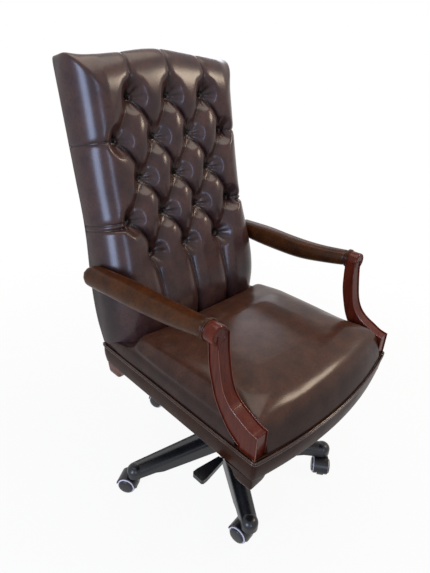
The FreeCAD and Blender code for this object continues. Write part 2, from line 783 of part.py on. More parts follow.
inside_inset = size.cover_thickness + size.rail_thickness
rail_inside = seat_slab(inside_inset, size.rail_underside - 1, size.rail_top + 1, size.rail_bow_underside)
feature(drafted(0).cut(drafted(size.cover_thickness)), "rail_cover")
rail_ring = drafted(size.cover_thickness).cut(rail_inside)
front_joint = size.rail_front + inside_inset
rear_joint = size.rail_rear - inside_inset
rail_solids = []
for low_y, high_y in ((-wide, front_joint), (front_joint, rear_joint), (rear_joint, wide)):
    band = Part.makeBox(wide, high_y - low_y, size.rail_top,
                        Vector(-wide / 2, low_y, size.rail_underside - 1))
    rail_solids += rail_ring.common(band).Solids

board = seat_slab(inside_inset + size.face_gap, size.rail_underside,
                  size.rail_underside + size.seat_board_thickness, size.rail_bow_underside)
for x in (size.plate_bolt_x, -size.plate_bolt_x):
    for y in (size.plate_bolt_front, size.plate_bolt_rear):
        board = board.cut(Part.makeCylinder(size.bolt_radius + size.running_gap, size.rail_top,
                                            Vector(x, y, 0)).common(board))
feature(board, "seat_board")

welt = seat_slab(-size.welt_stand, size.rail_top, size.rail_top + size.welt_height)
feature(welt.cut(seat_slab(size.welt_reach, size.rail_top, size.rail_top + size.welt_height)),
        "seat_welt")

dust = seat_slab(size.cover_thickness + size.rail_draft + 2, size.rail_underside - size.dust_cover_thickness,
                 size.rail_underside, size.rail_bow_underside)
opening = Part.makeBox(2 * size.dust_opening_half, size.dust_opening_rear - size.dust_opening_front,
                       size.rail_underside, Vector(-size.dust_opening_half, size.dust_opening_front, 1))
foot_corners = [(side, end) for end in ("front", "rear") for side in (-1, 1)]


def corner_foot(side, end):
    """A bracket foot under one corner of the rails, drawn in towards its tip."""
    half = size.rail_half_front if end == "front" else size.rail_half_rear
    corner_y = size.rail_front if end == "front" else size.rail_rear
    inward = 1 if end == "front" else -1
    outer_x = side * (half - size.rail_draft)
    outer_y = corner_y + inward * size.rail_draft

    def square(width, z):
        corners = [Vector(outer_x, outer_y, z), Vector(outer_x - side * width, outer_y, z),
                   Vector(outer_x - side * width, outer_y + inward * width, z),
                   Vector(outer_x, outer_y + inward * width, z)]
        return Part.makePolygon(corners + corners[:1])

    top = size.rail_underside
    width, tip, drop = ((size.foot_width, size.foot_tip_width, size.foot_drop) if end == "front" else
                        (size.rear_foot_width, size.rear_foot_tip_width, size.rear_foot_drop))
    return Part.makeLoft([square(width, top), square(tip, top - drop)], True, True)


feet = {end: Part.makeCompound([corner_foot(side, end) for side in (-1, 1)])
        for end in ("front", "rear")}
feature(dust.cut(opening).cut(feet["front"]).cut(feet["rear"]), "dust_cover")
feature(feet["front"], "front_feet")
feature(feet["rear"], "rear_feet")


# ---------------------------------------------------------------- arm posts
post_front = size.rail_front + size.welt_reach + size.face_gap
block_rear = post_front + size.block_depth
side_draw = (size.rail_half_front - size.rail_half_rear) / (size.rail_rear - size.rail_front)
post_outer = (size.rail_half_front - side_draw * (block_rear - size.rail_front)
              - size.welt_reach - size.face_gap)
post_inner = post_outer - size.post_width


def post_outline():
    """Side view of a post: a block, a concave sweep up to the scroll, and a leaner back edge."""
    rise = size.scroll_z - size.block_top
    run = size.scroll_front - post_front
    sweep = [Vector(0, post_front + run * across, size.block_top + rise * up) for across, up in (
        (0, 0), (0.17, 0.02), (0.32, 0.065), (0.54, 0.135), (0.726, 0.237), (0.847, 0.387),
        (0.927, 0.613), (0.985, 0.86), (1, 1))]
    lift = size.scroll_z - size.rail_top
    draw = size.scroll_rear - block_rear
    rear = [Vector(0, size.scroll_rear - draw * across, size.scroll_z - lift * down) for across, down in (
        (0, 0), (0.03, 0.16), (0.067, 0.316), (0.172, 0.488), (0.306, 0.64), (0.516, 0.78),
        (0.764, 0.892), (1, 0.956))]
    foot = Vector(0, block_rear, size.rail_top)
    corner = Vector(0, post_front, size.rail_top)
    return Part.Wire([
        spline(sweep), Part.LineSegment(sweep[-1], rear[0]).toShape(), spline(rear),
        Part.LineSegment(rear[-1], foot).toShape(), Part.LineSegment(foot, corner).toShape(),
        Part.LineSegment(corner, sweep[0]).toShape()])


def arm_post():
    blank = Part.Face(post_outline()).extrude(Vector(size.post_width, 0, 0))
    blank.translate(Vector(post_inner, 0, 0))
    scroll = Part.makeCylinder(size.scroll_radius, size.scroll_rear - size.scroll_front,
                               Vector(size.scroll_x, size.scroll_front, size.scroll_z), Vector(0, 1, 0))
    above = Part.makeBox(wide, wide, wide, Vector(0, -wide / 2, size.scroll_z - size.scroll_radius / 2))
    return blank.cut(above).fuse(scroll).removeSplitter()


post_shape = arm_post()


# ---------------------------------------------------------------- arms
def arm_section(x, y, z, half):
    """A round section across an arm, upright and square to the Y axis."""
    return Part.Wire(Part.makeCircle(half, Vector(x, y, z), Vector(0, 1, 0)))


def arm_loft(share):
    """An arm along its line, at a share of its thickness."""
    stations = [(0, size.scroll_rear + size.collar_width, 0, size.arm_front_half),
                (size.arm_mid_out, size.arm_mid_y, size.arm_mid_drop, size.arm_mid_half),
                (size.arm_wide_out, size.arm_wide_y, size.arm_wide_drop, size.arm_wide_half),
                (size.arm_rear_out, size.arm_rear_y, size.arm_rear_drop, size.arm_rear_half)]
    return Part.makeLoft([
        arm_section(size.scroll_x + out, y, size.scroll_z - drop, half * share)
        for out, y, drop, half in stations], True, False)


def arm_pad():
    """The padded arm with its rear end rounded over."""
    pad = arm_loft(1)
    rear_edge = max(pad.Edges, key=lambda edge: edge.CenterOfMass.y)
    return pad.makeFillet(size.arm_end_round, [rear_edge])


core_shape = arm_loft(size.arm_core_share)
core_shape = core_shape.cut(Part.makeBox(wide, wide, wide, Vector(
    -wide / 2, size.arm_rear_y - size.arm_end_round, size.rail_top)))
collar = Part.makeCylinder(size.collar_radius, size.collar_width,
                           Vector(size.scroll_x, size.scroll_rear, size.scroll_z), Vector(0, 1, 0))
feature(Part.makeCompound([collar, mirrored(collar)]), "arm_collars")


# ---------------------------------------------------------------- back
def back_point(x, along, depth):
    """A point of the back: along its slope from the floor, depth measured rearwards."""
    lean = math.radians(size.recline)
    return Vector(x, size.back_origin_y + along * math.sin(lean) + depth * math.cos(lean),
                  along * math.cos(lean) - depth * math.sin(lean))


def back_normal():
    lean = math.radians(size.recline)
    return Vector(0, math.cos(lean), -math.sin(lean))


def camel_back(half, inset, depth, spread):
    """The face of the back at one depth: a humped top edge, and sides that spread towards the foot."""
    low = size.rail_top / 2
    dip = size.back_dip_x * half / size.back_half
    crest = [back_point(-half, size.back_ear - inset, depth),
             back_point(-dip, size.back_dip - inset, depth),
             back_point(0, size.back_crown - inset, depth),
             back_point(dip, size.back_dip - inset, depth),
             back_point(half, size.back_ear - inset, depth)]
    right, left = back_point(half + spread, low, depth), back_point(-half - spread, low, depth)
    return Part.Face(Part.Wire([
        spline(crest), Part.LineSegment(crest[-1], right).toShape(),
        Part.LineSegment(right, left).toShape(), Part.LineSegment(left, crest[0]).toShape()]))


def back_slab(half, inset, front, rear, foot_z, spread=0):
    """The back's outline between two depths, cut level at its foot."""
    slab = camel_back(half, inset, front, spread).extrude(back_normal() * (rear - front))
    return slab.cut(Part.makeBox(wide, wide, foot_z, Vector(-wide / 2, -wide / 2, 0)))


def back_side():
    """Side view of the padding: its front bulges over the seat and rounds over at the top."""
    front_depth, rear_depth = -size.back_front_depth, size.back_rear_depth
    low = size.rail_top + size.face_gap
    lean = math.radians(size.recline)
    rear_low = back_point(0, (low + rear_depth * math.sin(lean)) / math.cos(lean), rear_depth)
    foot = size.back_foot_front
    front = [Vector(0, foot, low), Vector(0, foot - size.back_foot_swell, low + 62),
             Vector(0, foot + 10, low + 143), back_point(0, 735, front_depth),
             back_point(0, 950, front_depth), back_point(0, size.back_crown - 87, front_depth),
             back_point(0, size.back_crown - 22, front_depth * 0.6), back_point(0, size.back_crown, 0)]
    rear_top = back_point(0, size.back_crown, rear_depth)
    return Part.Face(Part.Wire([
        spline(front), Part.LineSegment(front[-1], rear_top).toShape(),
        Part.LineSegment(rear_top, rear_low).toShape(), Part.LineSegment(rear_low, front[0]).toShape()]))


def tuft_places():
    """(x, along) of every tuft: rows of three and four in turn, from the top down."""
    places = []
    for row in range(5):
        count = 3 if row % 2 == 0 else 4
        for column in range(count):
            places.append(((column - (count - 1) / 2) * size.tuft_column_pitch,
                           size.tuft_top - row * size.tuft_row_pitch))
    return places


def padding_section(along, outward, roll, middle):
    """The padding cut across its slope: a roll down each side, which turns round to a flat side."""
    half = size.back_half + size.back_flare * outward
    roll_depth = -size.back_front_depth - size.back_roll_depth - size.back_roll_swell * roll
    middle_depth = -size.back_front_depth - size.back_swell * middle
    corner = [(half - size.back_round_width * across, roll_depth + size.back_round_depth * down)
              for across, down in ((0, 1), (0.07, 0.61), (0.26, 0.34), (0.56, 0.1), (1, 0))]
    across = corner + [(half * 0.5, (roll_depth + 2 * middle_depth) / 3), (0, middle_depth)]
    right = [back_point(x, along, depth) for x, depth in across]
    left = [Vector(-point.x, point.y, point.z) for point in reversed(right[:-1])]
    behind = 1.5 * size.back_rear_depth
    rear_right, rear_left = back_point(half, along, behind), back_point(-half, along, behind)
    return Part.Wire([
        spline(right + left), Part.LineSegment(left[-1], rear_left).toShape(),
        Part.LineSegment(rear_left, rear_right).toShape(), Part.LineSegment(rear_right, right[0]).toShape()])


def padding_roll():
    """The padding through all its sections, from below its foot to above its crown."""
    start, stop = size.rail_top * 0.877, size.back_crown * 1.112
    step = (stop - start) / (len(PADDING_SWELL) - 1)
    return Part.makeLoft([padding_section(start + step * index, *shares)
                          for index, shares in enumerate(PADDING_SWELL)], True)


def padding_top():
    """Side view of what the padding may fill: its top rolls over from the front to the crown."""
    low = size.rail_top + size.face_gap
    ahead = -3 * size.back_front_depth
    roll_depth = -size.back_front_depth - size.back_roll_depth
    over = [back_point(0, size.back_crown - 130, roll_depth - 2), back_point(0, size.back_crown - 87, roll_depth),
            back_point(0, size.back_crown - 22, roll_depth * 0.55), back_point(0, size.back_crown, 0)]
    rear_top = back_point(0, size.back_crown, 1.5 * size.back_rear_depth)
    rear_low = Vector(0, back_point(0, low, 1.5 * size.back_rear_depth).y, low)
    low_ahead = Vector(0, back_point(0, low, ahead).y, low)
    ends = [over[-1], rear_top, rear_low, low_ahead, back_point(0, size.back_crown - 130, ahead), over[0]]
    lines = [Part.LineSegment(a, b).toShape() for a, b in zip(ends, ends[1:])]
    return Part.Face(Part.Wire([spline(over)] + lines))


def padded_back(front, rear, foot_z):
    """The padding's whole shape between two depths, before its frame and tufts are taken out."""
    side = padding_top().extrude(Vector(4 * size.back_half, 0, 0))
    side.translate(Vector(-2 * size.back_half, 0, 0))
    slab = back_slab(size.back_half, 0, front, rear, foot_z, size.back_flare * 3)
    return side.common(slab).common(padding_roll())


frame_rear = size.frame_front_depth + size.frame_thickness
frame_shape = back_slab(size.frame_half, size.frame_top_inset, size.frame_front_depth, frame_rear,
                        size.rail_top)
lean = math.radians(size.recline)
window_low = (size.rail_top + size.frame_rail_height) / math.cos(lean)
window_high = size.back_dip - size.frame_top_inset - size.frame_rail_height
window_half = size.frame_half - size.stile_width
window_face = Part.makePolygon([
    back_point(x, along, 0) for x, along in (
        (-window_half, window_low), (window_half, window_low), (window_half, window_high),
        (-window_half, window_high), (-window_half, window_low))])
frame_shape = frame_shape.cut(Part.Face(window_face).extrude(back_normal() * 2 * frame_rear))

whole_padding = padded_back(-2 * size.back_rear_depth, size.back_rear_depth, size.rail_top + size.face_gap)
welt_room = Part.makeBox(wide, wide, size.rail_top + size.welt_height + size.face_gap,
                         Vector(size.frame_half, 0, 0))
whole_padding = whole_padding.cut([welt_room, mirrored(welt_room)])
padding = whole_padding.cut(frame_shape)
buttons = []
for x, along in tuft_places():
    pit = Part.makeCylinder(size.tuft_pit_radius, 2 * size.back_rear_depth,
                            back_point(x, along, -2 * size.back_rear_depth), back_normal())
    padding = padding.cut(pit)
    buttons.append(Part.makeCylinder(size.tuft_button_radius, size.tuft_button_thickness,
                                     back_point(x, along, -size.tuft_button_thickness), back_normal()))
side = back_side().extrude(Vector(2 * (size.back_half + size.face_gap), 0, 0))
side.translate(Vector(-size.back_half - size.face_gap, -size.face_gap, 0))
beside_back = side.fuse(side.translated(Vector(0, size.frame_thickness, 0)))
pad_shape = arm_pad().cut(beside_back)
padding = padding.cut([pad_shape, mirrored(pad_shape), core_shape, mirrored(core_shape)])
pad_shape = pad_shape.cut(core_shape)


# ---------------------------------------------------------------- bolts of the frame
def bolt(start, direction, length, gap=0):
    """A bolt whose head's underside is at its start; with a gap, the hole that it needs."""
    sunk = direction * (size.bolt_head_height + gap)
    head = Part.makeCylinder(size.bolt_head_radius + gap, size.bolt_head_height + gap, start - sunk, direction)
    return head.fuse(Part.makeCylinder(size.bolt_radius + gap, length + 2 * gap, start, direction))


rail_middle = size.cover_thickness + size.rail_thickness / 2
head_seat = size.rail_underside + 2 * size.bolt_head_height
frame_bolts = [
    (Vector(window_half, size.arm_bolt_y, (size.scroll_z - size.arm_rear_drop)), Vector(1, 0, 0),
     (size.scroll_x + size.arm_rear_out) - window_half),
    (Vector((post_inner + post_outer) / 2, size.rail_front + rail_middle, head_seat), Vector(0, 0, 1),
     (size.rail_top + size.block_top) / 2 - head_seat),
    (Vector(window_half + size.stile_width / 2, size.rail_rear - rail_middle, head_seat), Vector(0, 0, 1),
     size.rail_top + size.frame_rail_height * 0.6 - head_seat)]
bolts, holes = [], []
for start, direction, length in frame_bolts:
    solid = bolt(start, direction, length)
    hole = bolt(start, direction, length, size.running_gap)
    bolts += [solid, mirrored(solid)]
    holes += [hole, mirrored(hole)]


def drilled(shape):
    """A shape with the bolt holes that reach it."""
    for hole in holes:
        if hole.BoundBox.intersect(shape.BoundBox):
            shape = shape.cut(hole)
    return shape


for name, shape in (("arm_post", post_shape), ("arm_core", core_shape), ("arm_pad", pad_shape)):
    shape = drilled(shape)
    feature(mirrored(shape), name + "_left")
    feature(shape, name + "_right")
feature(Part.makeCompound([drilled(solid) for solid in rail_solids]), "seat_rails")
feature(drilled(frame_shape), "back_frame")
feature(drilled(padding), "back_cushion")
feature(padded_back(size.back_rear_depth, size.back_rear_depth + size.back_panel_thickness,
                    size.rail_top + size.welt_height + size.face_gap), "back_panel")
feature(Part.makeCompound(buttons), "tuft_buttons")
feature(Part.makeCompound(bolts), "frame_bolts")


# ---------------------------------------------------------------- seat cushion
def seat_cushion():
    """The padding: a block inside the rails and a crowned top that rolls over them."""
    low = size.rail_underside + size.seat_board_thickness + size.face_gap
    rest = size.rail_top + size.face_gap
    crest = size.cushion_crest_z
    core = seat_slab(inside_inset + size.face_gap, low, crest, size.rail_bow_underside)
    ridge = seat_outline(size.cushion_crest_inset, crest, size.cushion_bow, size.cushion_front_inset)
    top = Part.makeLoft([seat_outline(size.cushion_base_inset, rest, size.rail_bow), ridge], True, True)
    crown = Part.makeLoft([ridge, seat_outline(size.cushion_top_inset, size.cushion_top_z,
                                               size.cushion_bow)], True, True)
    rear_y = size.back_foot_front - size.back_foot_swell - 2 * size.face_gap
    above = Part.makeBox(wide, wide, wide, Vector(-wide / 2, rear_y, rest))
    below = Part.makeBox(wide, wide, rest - low, Vector(-wide / 2, rear_joint - size.face_gap, low))
    room = post_room(rest)
    return core.fuse([top, crown]).cut(
        [above, below, room, mirrored(room), whole_padding]).removeSplitter()


def post_room(rest):
    """The space that the right post takes out of the cushion, with a small gap round it."""
    gap = size.face_gap
    room = Part.Face(post_outline()).extrude(Vector(size.rail_half_front, 0, 0))
    room.translate(Vector(post_inner - gap, 0, 0))
    ahead = Part.makeBox(size.rail_half_front, wide, wide,
                         Vector(post_inner - gap, block_rear - wide, rest))
    return room.fuse([room.translated(Vector(0, gap, 0)), ahead])


feature(seat_cushion(), "seat_cushion")

# ---------------------------------------------------------------- checks and export
doc.recompute()
for obj in doc.Objects:
    if {"Invalid", "Error"} & set(obj.State):
        raise RuntimeError(f"{obj.Name} ({obj.Label}) failed: {obj.State}")
os.makedirs("parts", exist_ok=True)
for obj in nodes:
    shape = obj.Shape
    if shape.isNull() or not shape.isValid() or not shape.Solids:
        raise RuntimeError(f"{obj.Label} has no valid solid")
    shape.exportStep(f"parts/{obj.Label}.step")
    print(f"{obj.Label}: {len(shape.Solids)} solid(s), {shape.Volume / 1000:.1f} cm3")
print(len(nodes), "nodes")
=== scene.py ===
"""A traditional swivel office chair: a deep-buttoned leather back, a leather seat on a welted
frame, padded arms on swept mahogany posts, and a black five-arm base on twin-wheel casters.

Sizes in the classes are millimetres; meshes are written in metres, in the frame's own axes.
"""

import json
import logging
import math
from collections.abc import Sequence
from dataclasses import dataclass
from enum import Enum

import bmesh
import bpy
import numpy as np
from mathutils import Matrix, Vector

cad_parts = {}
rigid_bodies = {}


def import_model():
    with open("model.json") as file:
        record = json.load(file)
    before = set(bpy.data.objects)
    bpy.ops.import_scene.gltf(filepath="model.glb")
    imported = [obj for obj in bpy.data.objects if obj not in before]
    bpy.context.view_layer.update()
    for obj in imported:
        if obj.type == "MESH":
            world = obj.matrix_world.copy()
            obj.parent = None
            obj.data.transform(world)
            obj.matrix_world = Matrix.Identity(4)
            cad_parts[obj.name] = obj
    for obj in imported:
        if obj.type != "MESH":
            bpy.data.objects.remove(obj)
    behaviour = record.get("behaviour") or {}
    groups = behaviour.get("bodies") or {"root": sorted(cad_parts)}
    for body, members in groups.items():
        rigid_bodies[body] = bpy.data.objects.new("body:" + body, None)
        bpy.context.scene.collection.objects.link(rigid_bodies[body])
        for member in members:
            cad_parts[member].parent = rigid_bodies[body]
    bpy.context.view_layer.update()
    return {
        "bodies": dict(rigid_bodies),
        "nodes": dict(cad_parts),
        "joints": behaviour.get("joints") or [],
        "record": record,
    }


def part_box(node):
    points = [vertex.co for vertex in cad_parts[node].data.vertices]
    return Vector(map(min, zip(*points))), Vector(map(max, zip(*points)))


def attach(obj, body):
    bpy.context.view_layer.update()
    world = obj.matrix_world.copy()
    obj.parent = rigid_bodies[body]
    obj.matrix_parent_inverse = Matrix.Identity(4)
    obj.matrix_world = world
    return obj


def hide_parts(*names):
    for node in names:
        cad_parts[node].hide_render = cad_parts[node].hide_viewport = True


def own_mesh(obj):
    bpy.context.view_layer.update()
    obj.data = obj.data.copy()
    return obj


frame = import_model()

log = logging.getLogger("chair")
MM = 0.001
SIDES = ((-1, "left"), (1, "right"))
QUARTER = math.pi / 2


# ---------------------------------------------------------------- nodes and colours
def linear(text: str) -> tuple[float, float, float, float]:
    """Turns an sRGB hex colour into linear light.

    Args:
        text: The colour as #rrggbb.

    Returns:
        Red, green, blue and an alpha of 1.
    """
    channels = [int(text[k:k + 2], 16) / 255 for k in (1, 3, 5)]
    red, green, blue = (c / 12.92 if c <= 0.04045 else ((c + 0.055) / 1.055) ** 2.4 for c in channels)
    return red, green, blue, 1.0


def add_node(tree: bpy.types.NodeTree, kind: str, settings: dict | None = None,
             links: dict | None = None) -> bpy.types.Node:
    """Adds one node to a tree, with its settings and its inputs.

    Args:
        tree: The node tree of a material, the world or a modifier.
        kind: The node's type name.
        settings: Properties of the node, by name.
        links: Inputs by name or number: an output to link from, or a value to hold.

    Returns:
        The new node.
    """
    node = tree.nodes.new(kind)
    for name, value in (settings or {}).items():
        setattr(node, name, value)
    for key, value in (links or {}).items():
        if isinstance(value, bpy.types.NodeSocket):
            tree.links.new(value, node.inputs[key])
        else:
            node.inputs[key].default_value = value
    return node


class Painter:
    """The node tree of a material or the world, with short names for the nodes that fill it."""

    def __init__(self, owner: bpy.types.Material | bpy.types.World) -> None:
        """Empties the owner's tree.

        Args:
            owner: The material or the world.
        """
        self.owner = owner
        owner.use_nodes = True
        owner.node_tree.nodes.clear()

    def add(self, kind: str, settings: dict | None = None, links: dict | None = None) -> bpy.types.Node:
        """Adds a shader node by its short name."""
        return add_node(self.owner.node_tree, "ShaderNode" + kind, settings, links)

    def place(self) -> bpy.types.NodeSocket:
        """The place on the object, in its own coordinates."""
        return self.add("TexCoord").outputs["Object"]

    def noise(self, place: bpy.types.NodeSocket, size: float, detail: float = 2.0,
              roughness: float = 0.5, distortion: float = 0.0) -> bpy.types.NodeSocket:
        """Cloudy noise from 0 to 1, whose features are about size millimetres wide."""
        return self.add("TexNoise", links={
            "Vector": place, "Scale": 1 / (size * MM), "Detail": detail, "Roughness": roughness,
            "Distortion": distortion}).outputs[0]

    def span(self, value: bpy.types.NodeSocket, low: float, high: float, to_low: float = 0.0,
             to_high: float = 1.0, **settings: str) -> bpy.types.NodeSocket:
        """Maps the range from low to high onto another and holds it there."""
        return self.add("MapRange", settings, {
            "Value": value, "From Min": low, "From Max": high, "To Min": to_low, "To Max": to_high}).outputs[0]

    def calculate(self, operation: str, *values: object, **settings: bool) -> bpy.types.NodeSocket:
        """Does one step of arithmetic."""
        return self.add("Math", {"operation": operation} | settings, dict(enumerate(values))).outputs[0]

    def mix(self, share: bpy.types.NodeSocket, first: object, second: object) -> bpy.types.NodeSocket:
        """Blends two colours, each a socket or #rrggbb."""
        first, second = (linear(tone) if isinstance(tone, str) else tone for tone in (first, second))
        return self.add("Mix", {"data_type": "RGBA"}, {0: share, 6: first, 7: second}).outputs[2]

    def bump(self, strength: float, distance: float, height: bpy.types.NodeSocket,
             **under: bpy.types.NodeSocket) -> bpy.types.NodeSocket:
        """Fine relief, over any relief under it."""
        return self.add("Bump", links={
            "Strength": strength, "Distance": distance, "Height": height} | under).outputs[0]

    def seen(self) -> bpy.types.NodeSocket:
        """1 where the camera, glass or a mirror looks, 0 where light only bounces."""
        path = self.add("LightPath").outputs
        direct = self.calculate("MAXIMUM", path["Is Camera Ray"], path["Is Transmission Ray"])
        return self.calculate("MAXIMUM", direct, path["Is Glossy Ray"])

    def close(self, output: str, surface: bpy.types.Node) -> None:
        """Ends the tree in its output node."""
        self.add(output, links={"Surface": surface.outputs[0]})


# ---------------------------------------------------------------- finishes
@dataclass(frozen=True)
class Finish:
    """What a piece can be coated with."""

    name: str

    def inputs(self, paint: Painter) -> dict[str, object]:
        """Adds the finish's own nodes and gives the inputs of its surface."""
        raise NotImplementedError

    def material(self) -> bpy.types.Material:
        """Builds the shader.

        Returns:
            The material.
        """
        paint = Painter(bpy.data.materials.new(self.name))
        paint.close("OutputMaterial", paint.add("BsdfPrincipled", links=self.inputs(paint)))
        return paint.owner


@dataclass(frozen=True)
class Leather(Finish):
    """Pigmented cowhide under a gloss lacquer, rubbed with a darker waxy polish.

    The lacquer gives broad soft highlights, the polish a cloudy purple-brown mottling, and the hide a fine
    pebble grain and slow stretch waves. A near-black tone is laid in by each vertex's share of polish
    and painted shade: polish in the creases, and painted shade in the pits, along the tufting's lines and
    over the shaded lower flanks, where the share also dulls the shine.
    """

    hide: str = "#412a25"
    cloud: str = "#2f1e1e"
    speck: str = "#221516"
    # near-black tone of the polish in the creases, and of painted shade in the pits, along crease lines and on
    # shaded flanks
    wax_and_shade: str = "#0c0606"
    roughness: float = 0.34
    gloss: float = 0.05
    lacquer: float = 0.5
    haze: float = 0.25
    grain: float = 3.2  # the pebbles are about 0.8 mm; coarser here, as they would not show
    cloud_size: float = 46.0
    speck_size: float = 7.0
    wave_size: float = 34.0
    wax_dulls: float = 0.4

    def inputs(self, paint: Painter) -> dict[str, object]:
        """Mottles the hide, darkens its creases with polish and painted shade and lays the grain over the
        waves.
        """
        place = paint.place()
        clouds = paint.noise(place, self.cloud_size, 3.0, 0.55)
        specks = paint.noise(place, self.speck_size, 4.0, 0.62)
        tone = paint.mix(paint.span(clouds, 0.36, 0.66), self.hide, self.cloud)
        mottled = paint.mix(paint.span(specks, 0.47, 0.72, 0, 0.62), tone, self.speck)
        wax_and_shade_share = paint.add("Attribute", {"attribute_name": "wax_and_shade_share"}).outputs["Fac"]
        shine = paint.span(clouds, 0.3, 0.7, self.roughness - 0.05, self.roughness + 0.06)
        pebbles = paint.add("TexVoronoi", {"feature": "SMOOTH_F1"}, {
            "Vector": place, "Scale": 1 / (self.grain * MM)}).outputs["Distance"]
        stretched = paint.bump(0.35, 0.0011, paint.noise(place, self.wave_size))
        # the per-vertex share lays in the near-black tone: polish in the creases, and painted shade in the
        # pits, along crease lines and on shaded flanks
        return {"Base Color": paint.mix(wax_and_shade_share, mottled, self.wax_and_shade),
                "Roughness": paint.calculate("MULTIPLY_ADD", wax_and_shade_share, self.wax_dulls, shine, use_clamp=True),
                "Normal": paint.bump(0.16, 0.0003, pebbles, Normal=stretched),
                "Specular IOR Level": self.gloss, "Coat Weight": self.lacquer,
                "Coat Roughness": self.haze, "Coat IOR": 1.5, "IOR": 1.48}


@dataclass(frozen=True)
class Wood(Finish):
    """Sawn and sanded timber under lacquer: long streaks of early and late wood, with fine pores."""

    ground: str = "#3f1109"
    dark: str = "#220704"
    glow: str = "#58200f"
    roughness: float = 0.32
    lacquer: float = 0.22
    streak: float = 4.0
    length: float = 70.0
    along: tuple[float, float, float] = (0, 0, 1)

    def inputs(self, paint: Painter) -> dict[str, object]:
        """Draws streaks and pores out along the grain."""
        squeeze = [1.0 - (1.0 - self.streak / self.length) * share for share in self.along]
        drawn = paint.add("Mapping", links={"Vector": paint.place(), "Scale": squeeze}).outputs[0]
        streaks = paint.noise(drawn, self.streak * 2.4, 5.0, 0.6, 0.5)
        pores = paint.noise(drawn, self.streak * 0.55)
        tone = paint.mix(paint.span(streaks, 0.34, 0.68), self.ground, self.glow)
        return {"Base Color": paint.mix(paint.span(pores, 0.56, 0.7, 0, 0.55), tone, self.dark),
                "Roughness": paint.span(streaks, 0, 1, self.roughness - 0.04, self.roughness + 0.08),
                "Normal": paint.bump(0.12, 0.0003, pores),
                "Specular IOR Level": 0.06, "Coat Weight": self.lacquer, "Coat Roughness": 0.1}


@dataclass(frozen=True)
class Moulding(Finish):
    """Injection-moulded plastic: an even colour, a faint orange-peel skin and light handling haze."""

    colour: str = "#101012"
    haze: str = "#19191c"
    roughness: float = 0.3
    peel: float = 9.0
    relief: float = 0.00025
    gloss: float = 0.4
    haze_size: float = 60.0

    def inputs(self, paint: Painter) -> dict[str, object]:
        """Lays the haze over the colour and the peel over both."""
        place = paint.place()
        haze = paint.noise(place, self.haze_size, 4.0, 0.6)
        return {"Base Color": paint.mix(paint.span(haze, 0.4, 0.7), self.colour, self.haze),
                "Roughness": paint.span(haze, 0, 1, self.roughness - 0.06, self.roughness + 0.1),
                "Normal": paint.bump(0.3, self.relief, paint.noise(place, self.peel)),
                "Specular IOR Level": self.gloss}


@dataclass(frozen=True)
class Metal(Finish):
    """Drawn or pressed steel, bright or powder coated: fine draw lines and small dull patches."""

    colour: str = "#a7a7aa"
    patch: str = "#86868a"
    metallic: float = 1.0
    roughness: float = 0.32
    line: float = 1.6
    relief: float = 0.0001
    patch_size: float = 24.0

    def inputs(self, paint: Painter) -> dict[str, object]:
        """Lays the patches over the colour and draws the lines out upwards."""
        place = paint.place()
        drawn = paint.add("Mapping", links={"Vector": place, "Scale": (1.0, 1.0, 0.08)}).outputs[0]
        patches = paint.noise(place, self.patch_size, 4.0)
        return {"Base Color": paint.mix(patches, self.colour, self.patch), "Metallic": self.metallic,
                "Roughness": paint.span(patches, 0, 1, self.roughness - 0.08, self.roughness + 0.12),
                "Normal": paint.bump(0.2, self.relief, paint.noise(drawn, self.line))}


@dataclass(frozen=True)
class Cambric(Finish):
    """Plain-woven black lining cloth: matt, with a visible over-and-under of its threads."""

    thread: str = "#1b1b1c"
    gap: str = "#0b0b0b"
    spacing: float = 2.2  # the threads are 0.5 mm apart; coarser here, as they would not show
    wave_scale: float = 20.0  # a wave texture's bands to its scale

    def inputs(self, paint: Painter) -> dict[str, object]:
        """Crosses two waves of thread."""
        place = paint.place()
        waves = [paint.add("TexWave", {"bands_direction": axis}, {
            "Vector": place, "Scale": 1 / (self.spacing * MM) / self.wave_scale, "Distortion": 0.6,
            "Detail": 1.0, "Detail Scale": 2.0}).outputs["Fac"] for axis in "XY"]
        weave = paint.calculate("MULTIPLY", *waves)
        return {"Base Color": paint.mix(weave, self.gap, self.thread), "Roughness": 0.92,
                "Normal": paint.bump(0.5, 0.0004, weave), "Specular IOR Level": 0.2, "Sheen Weight": 0.2}


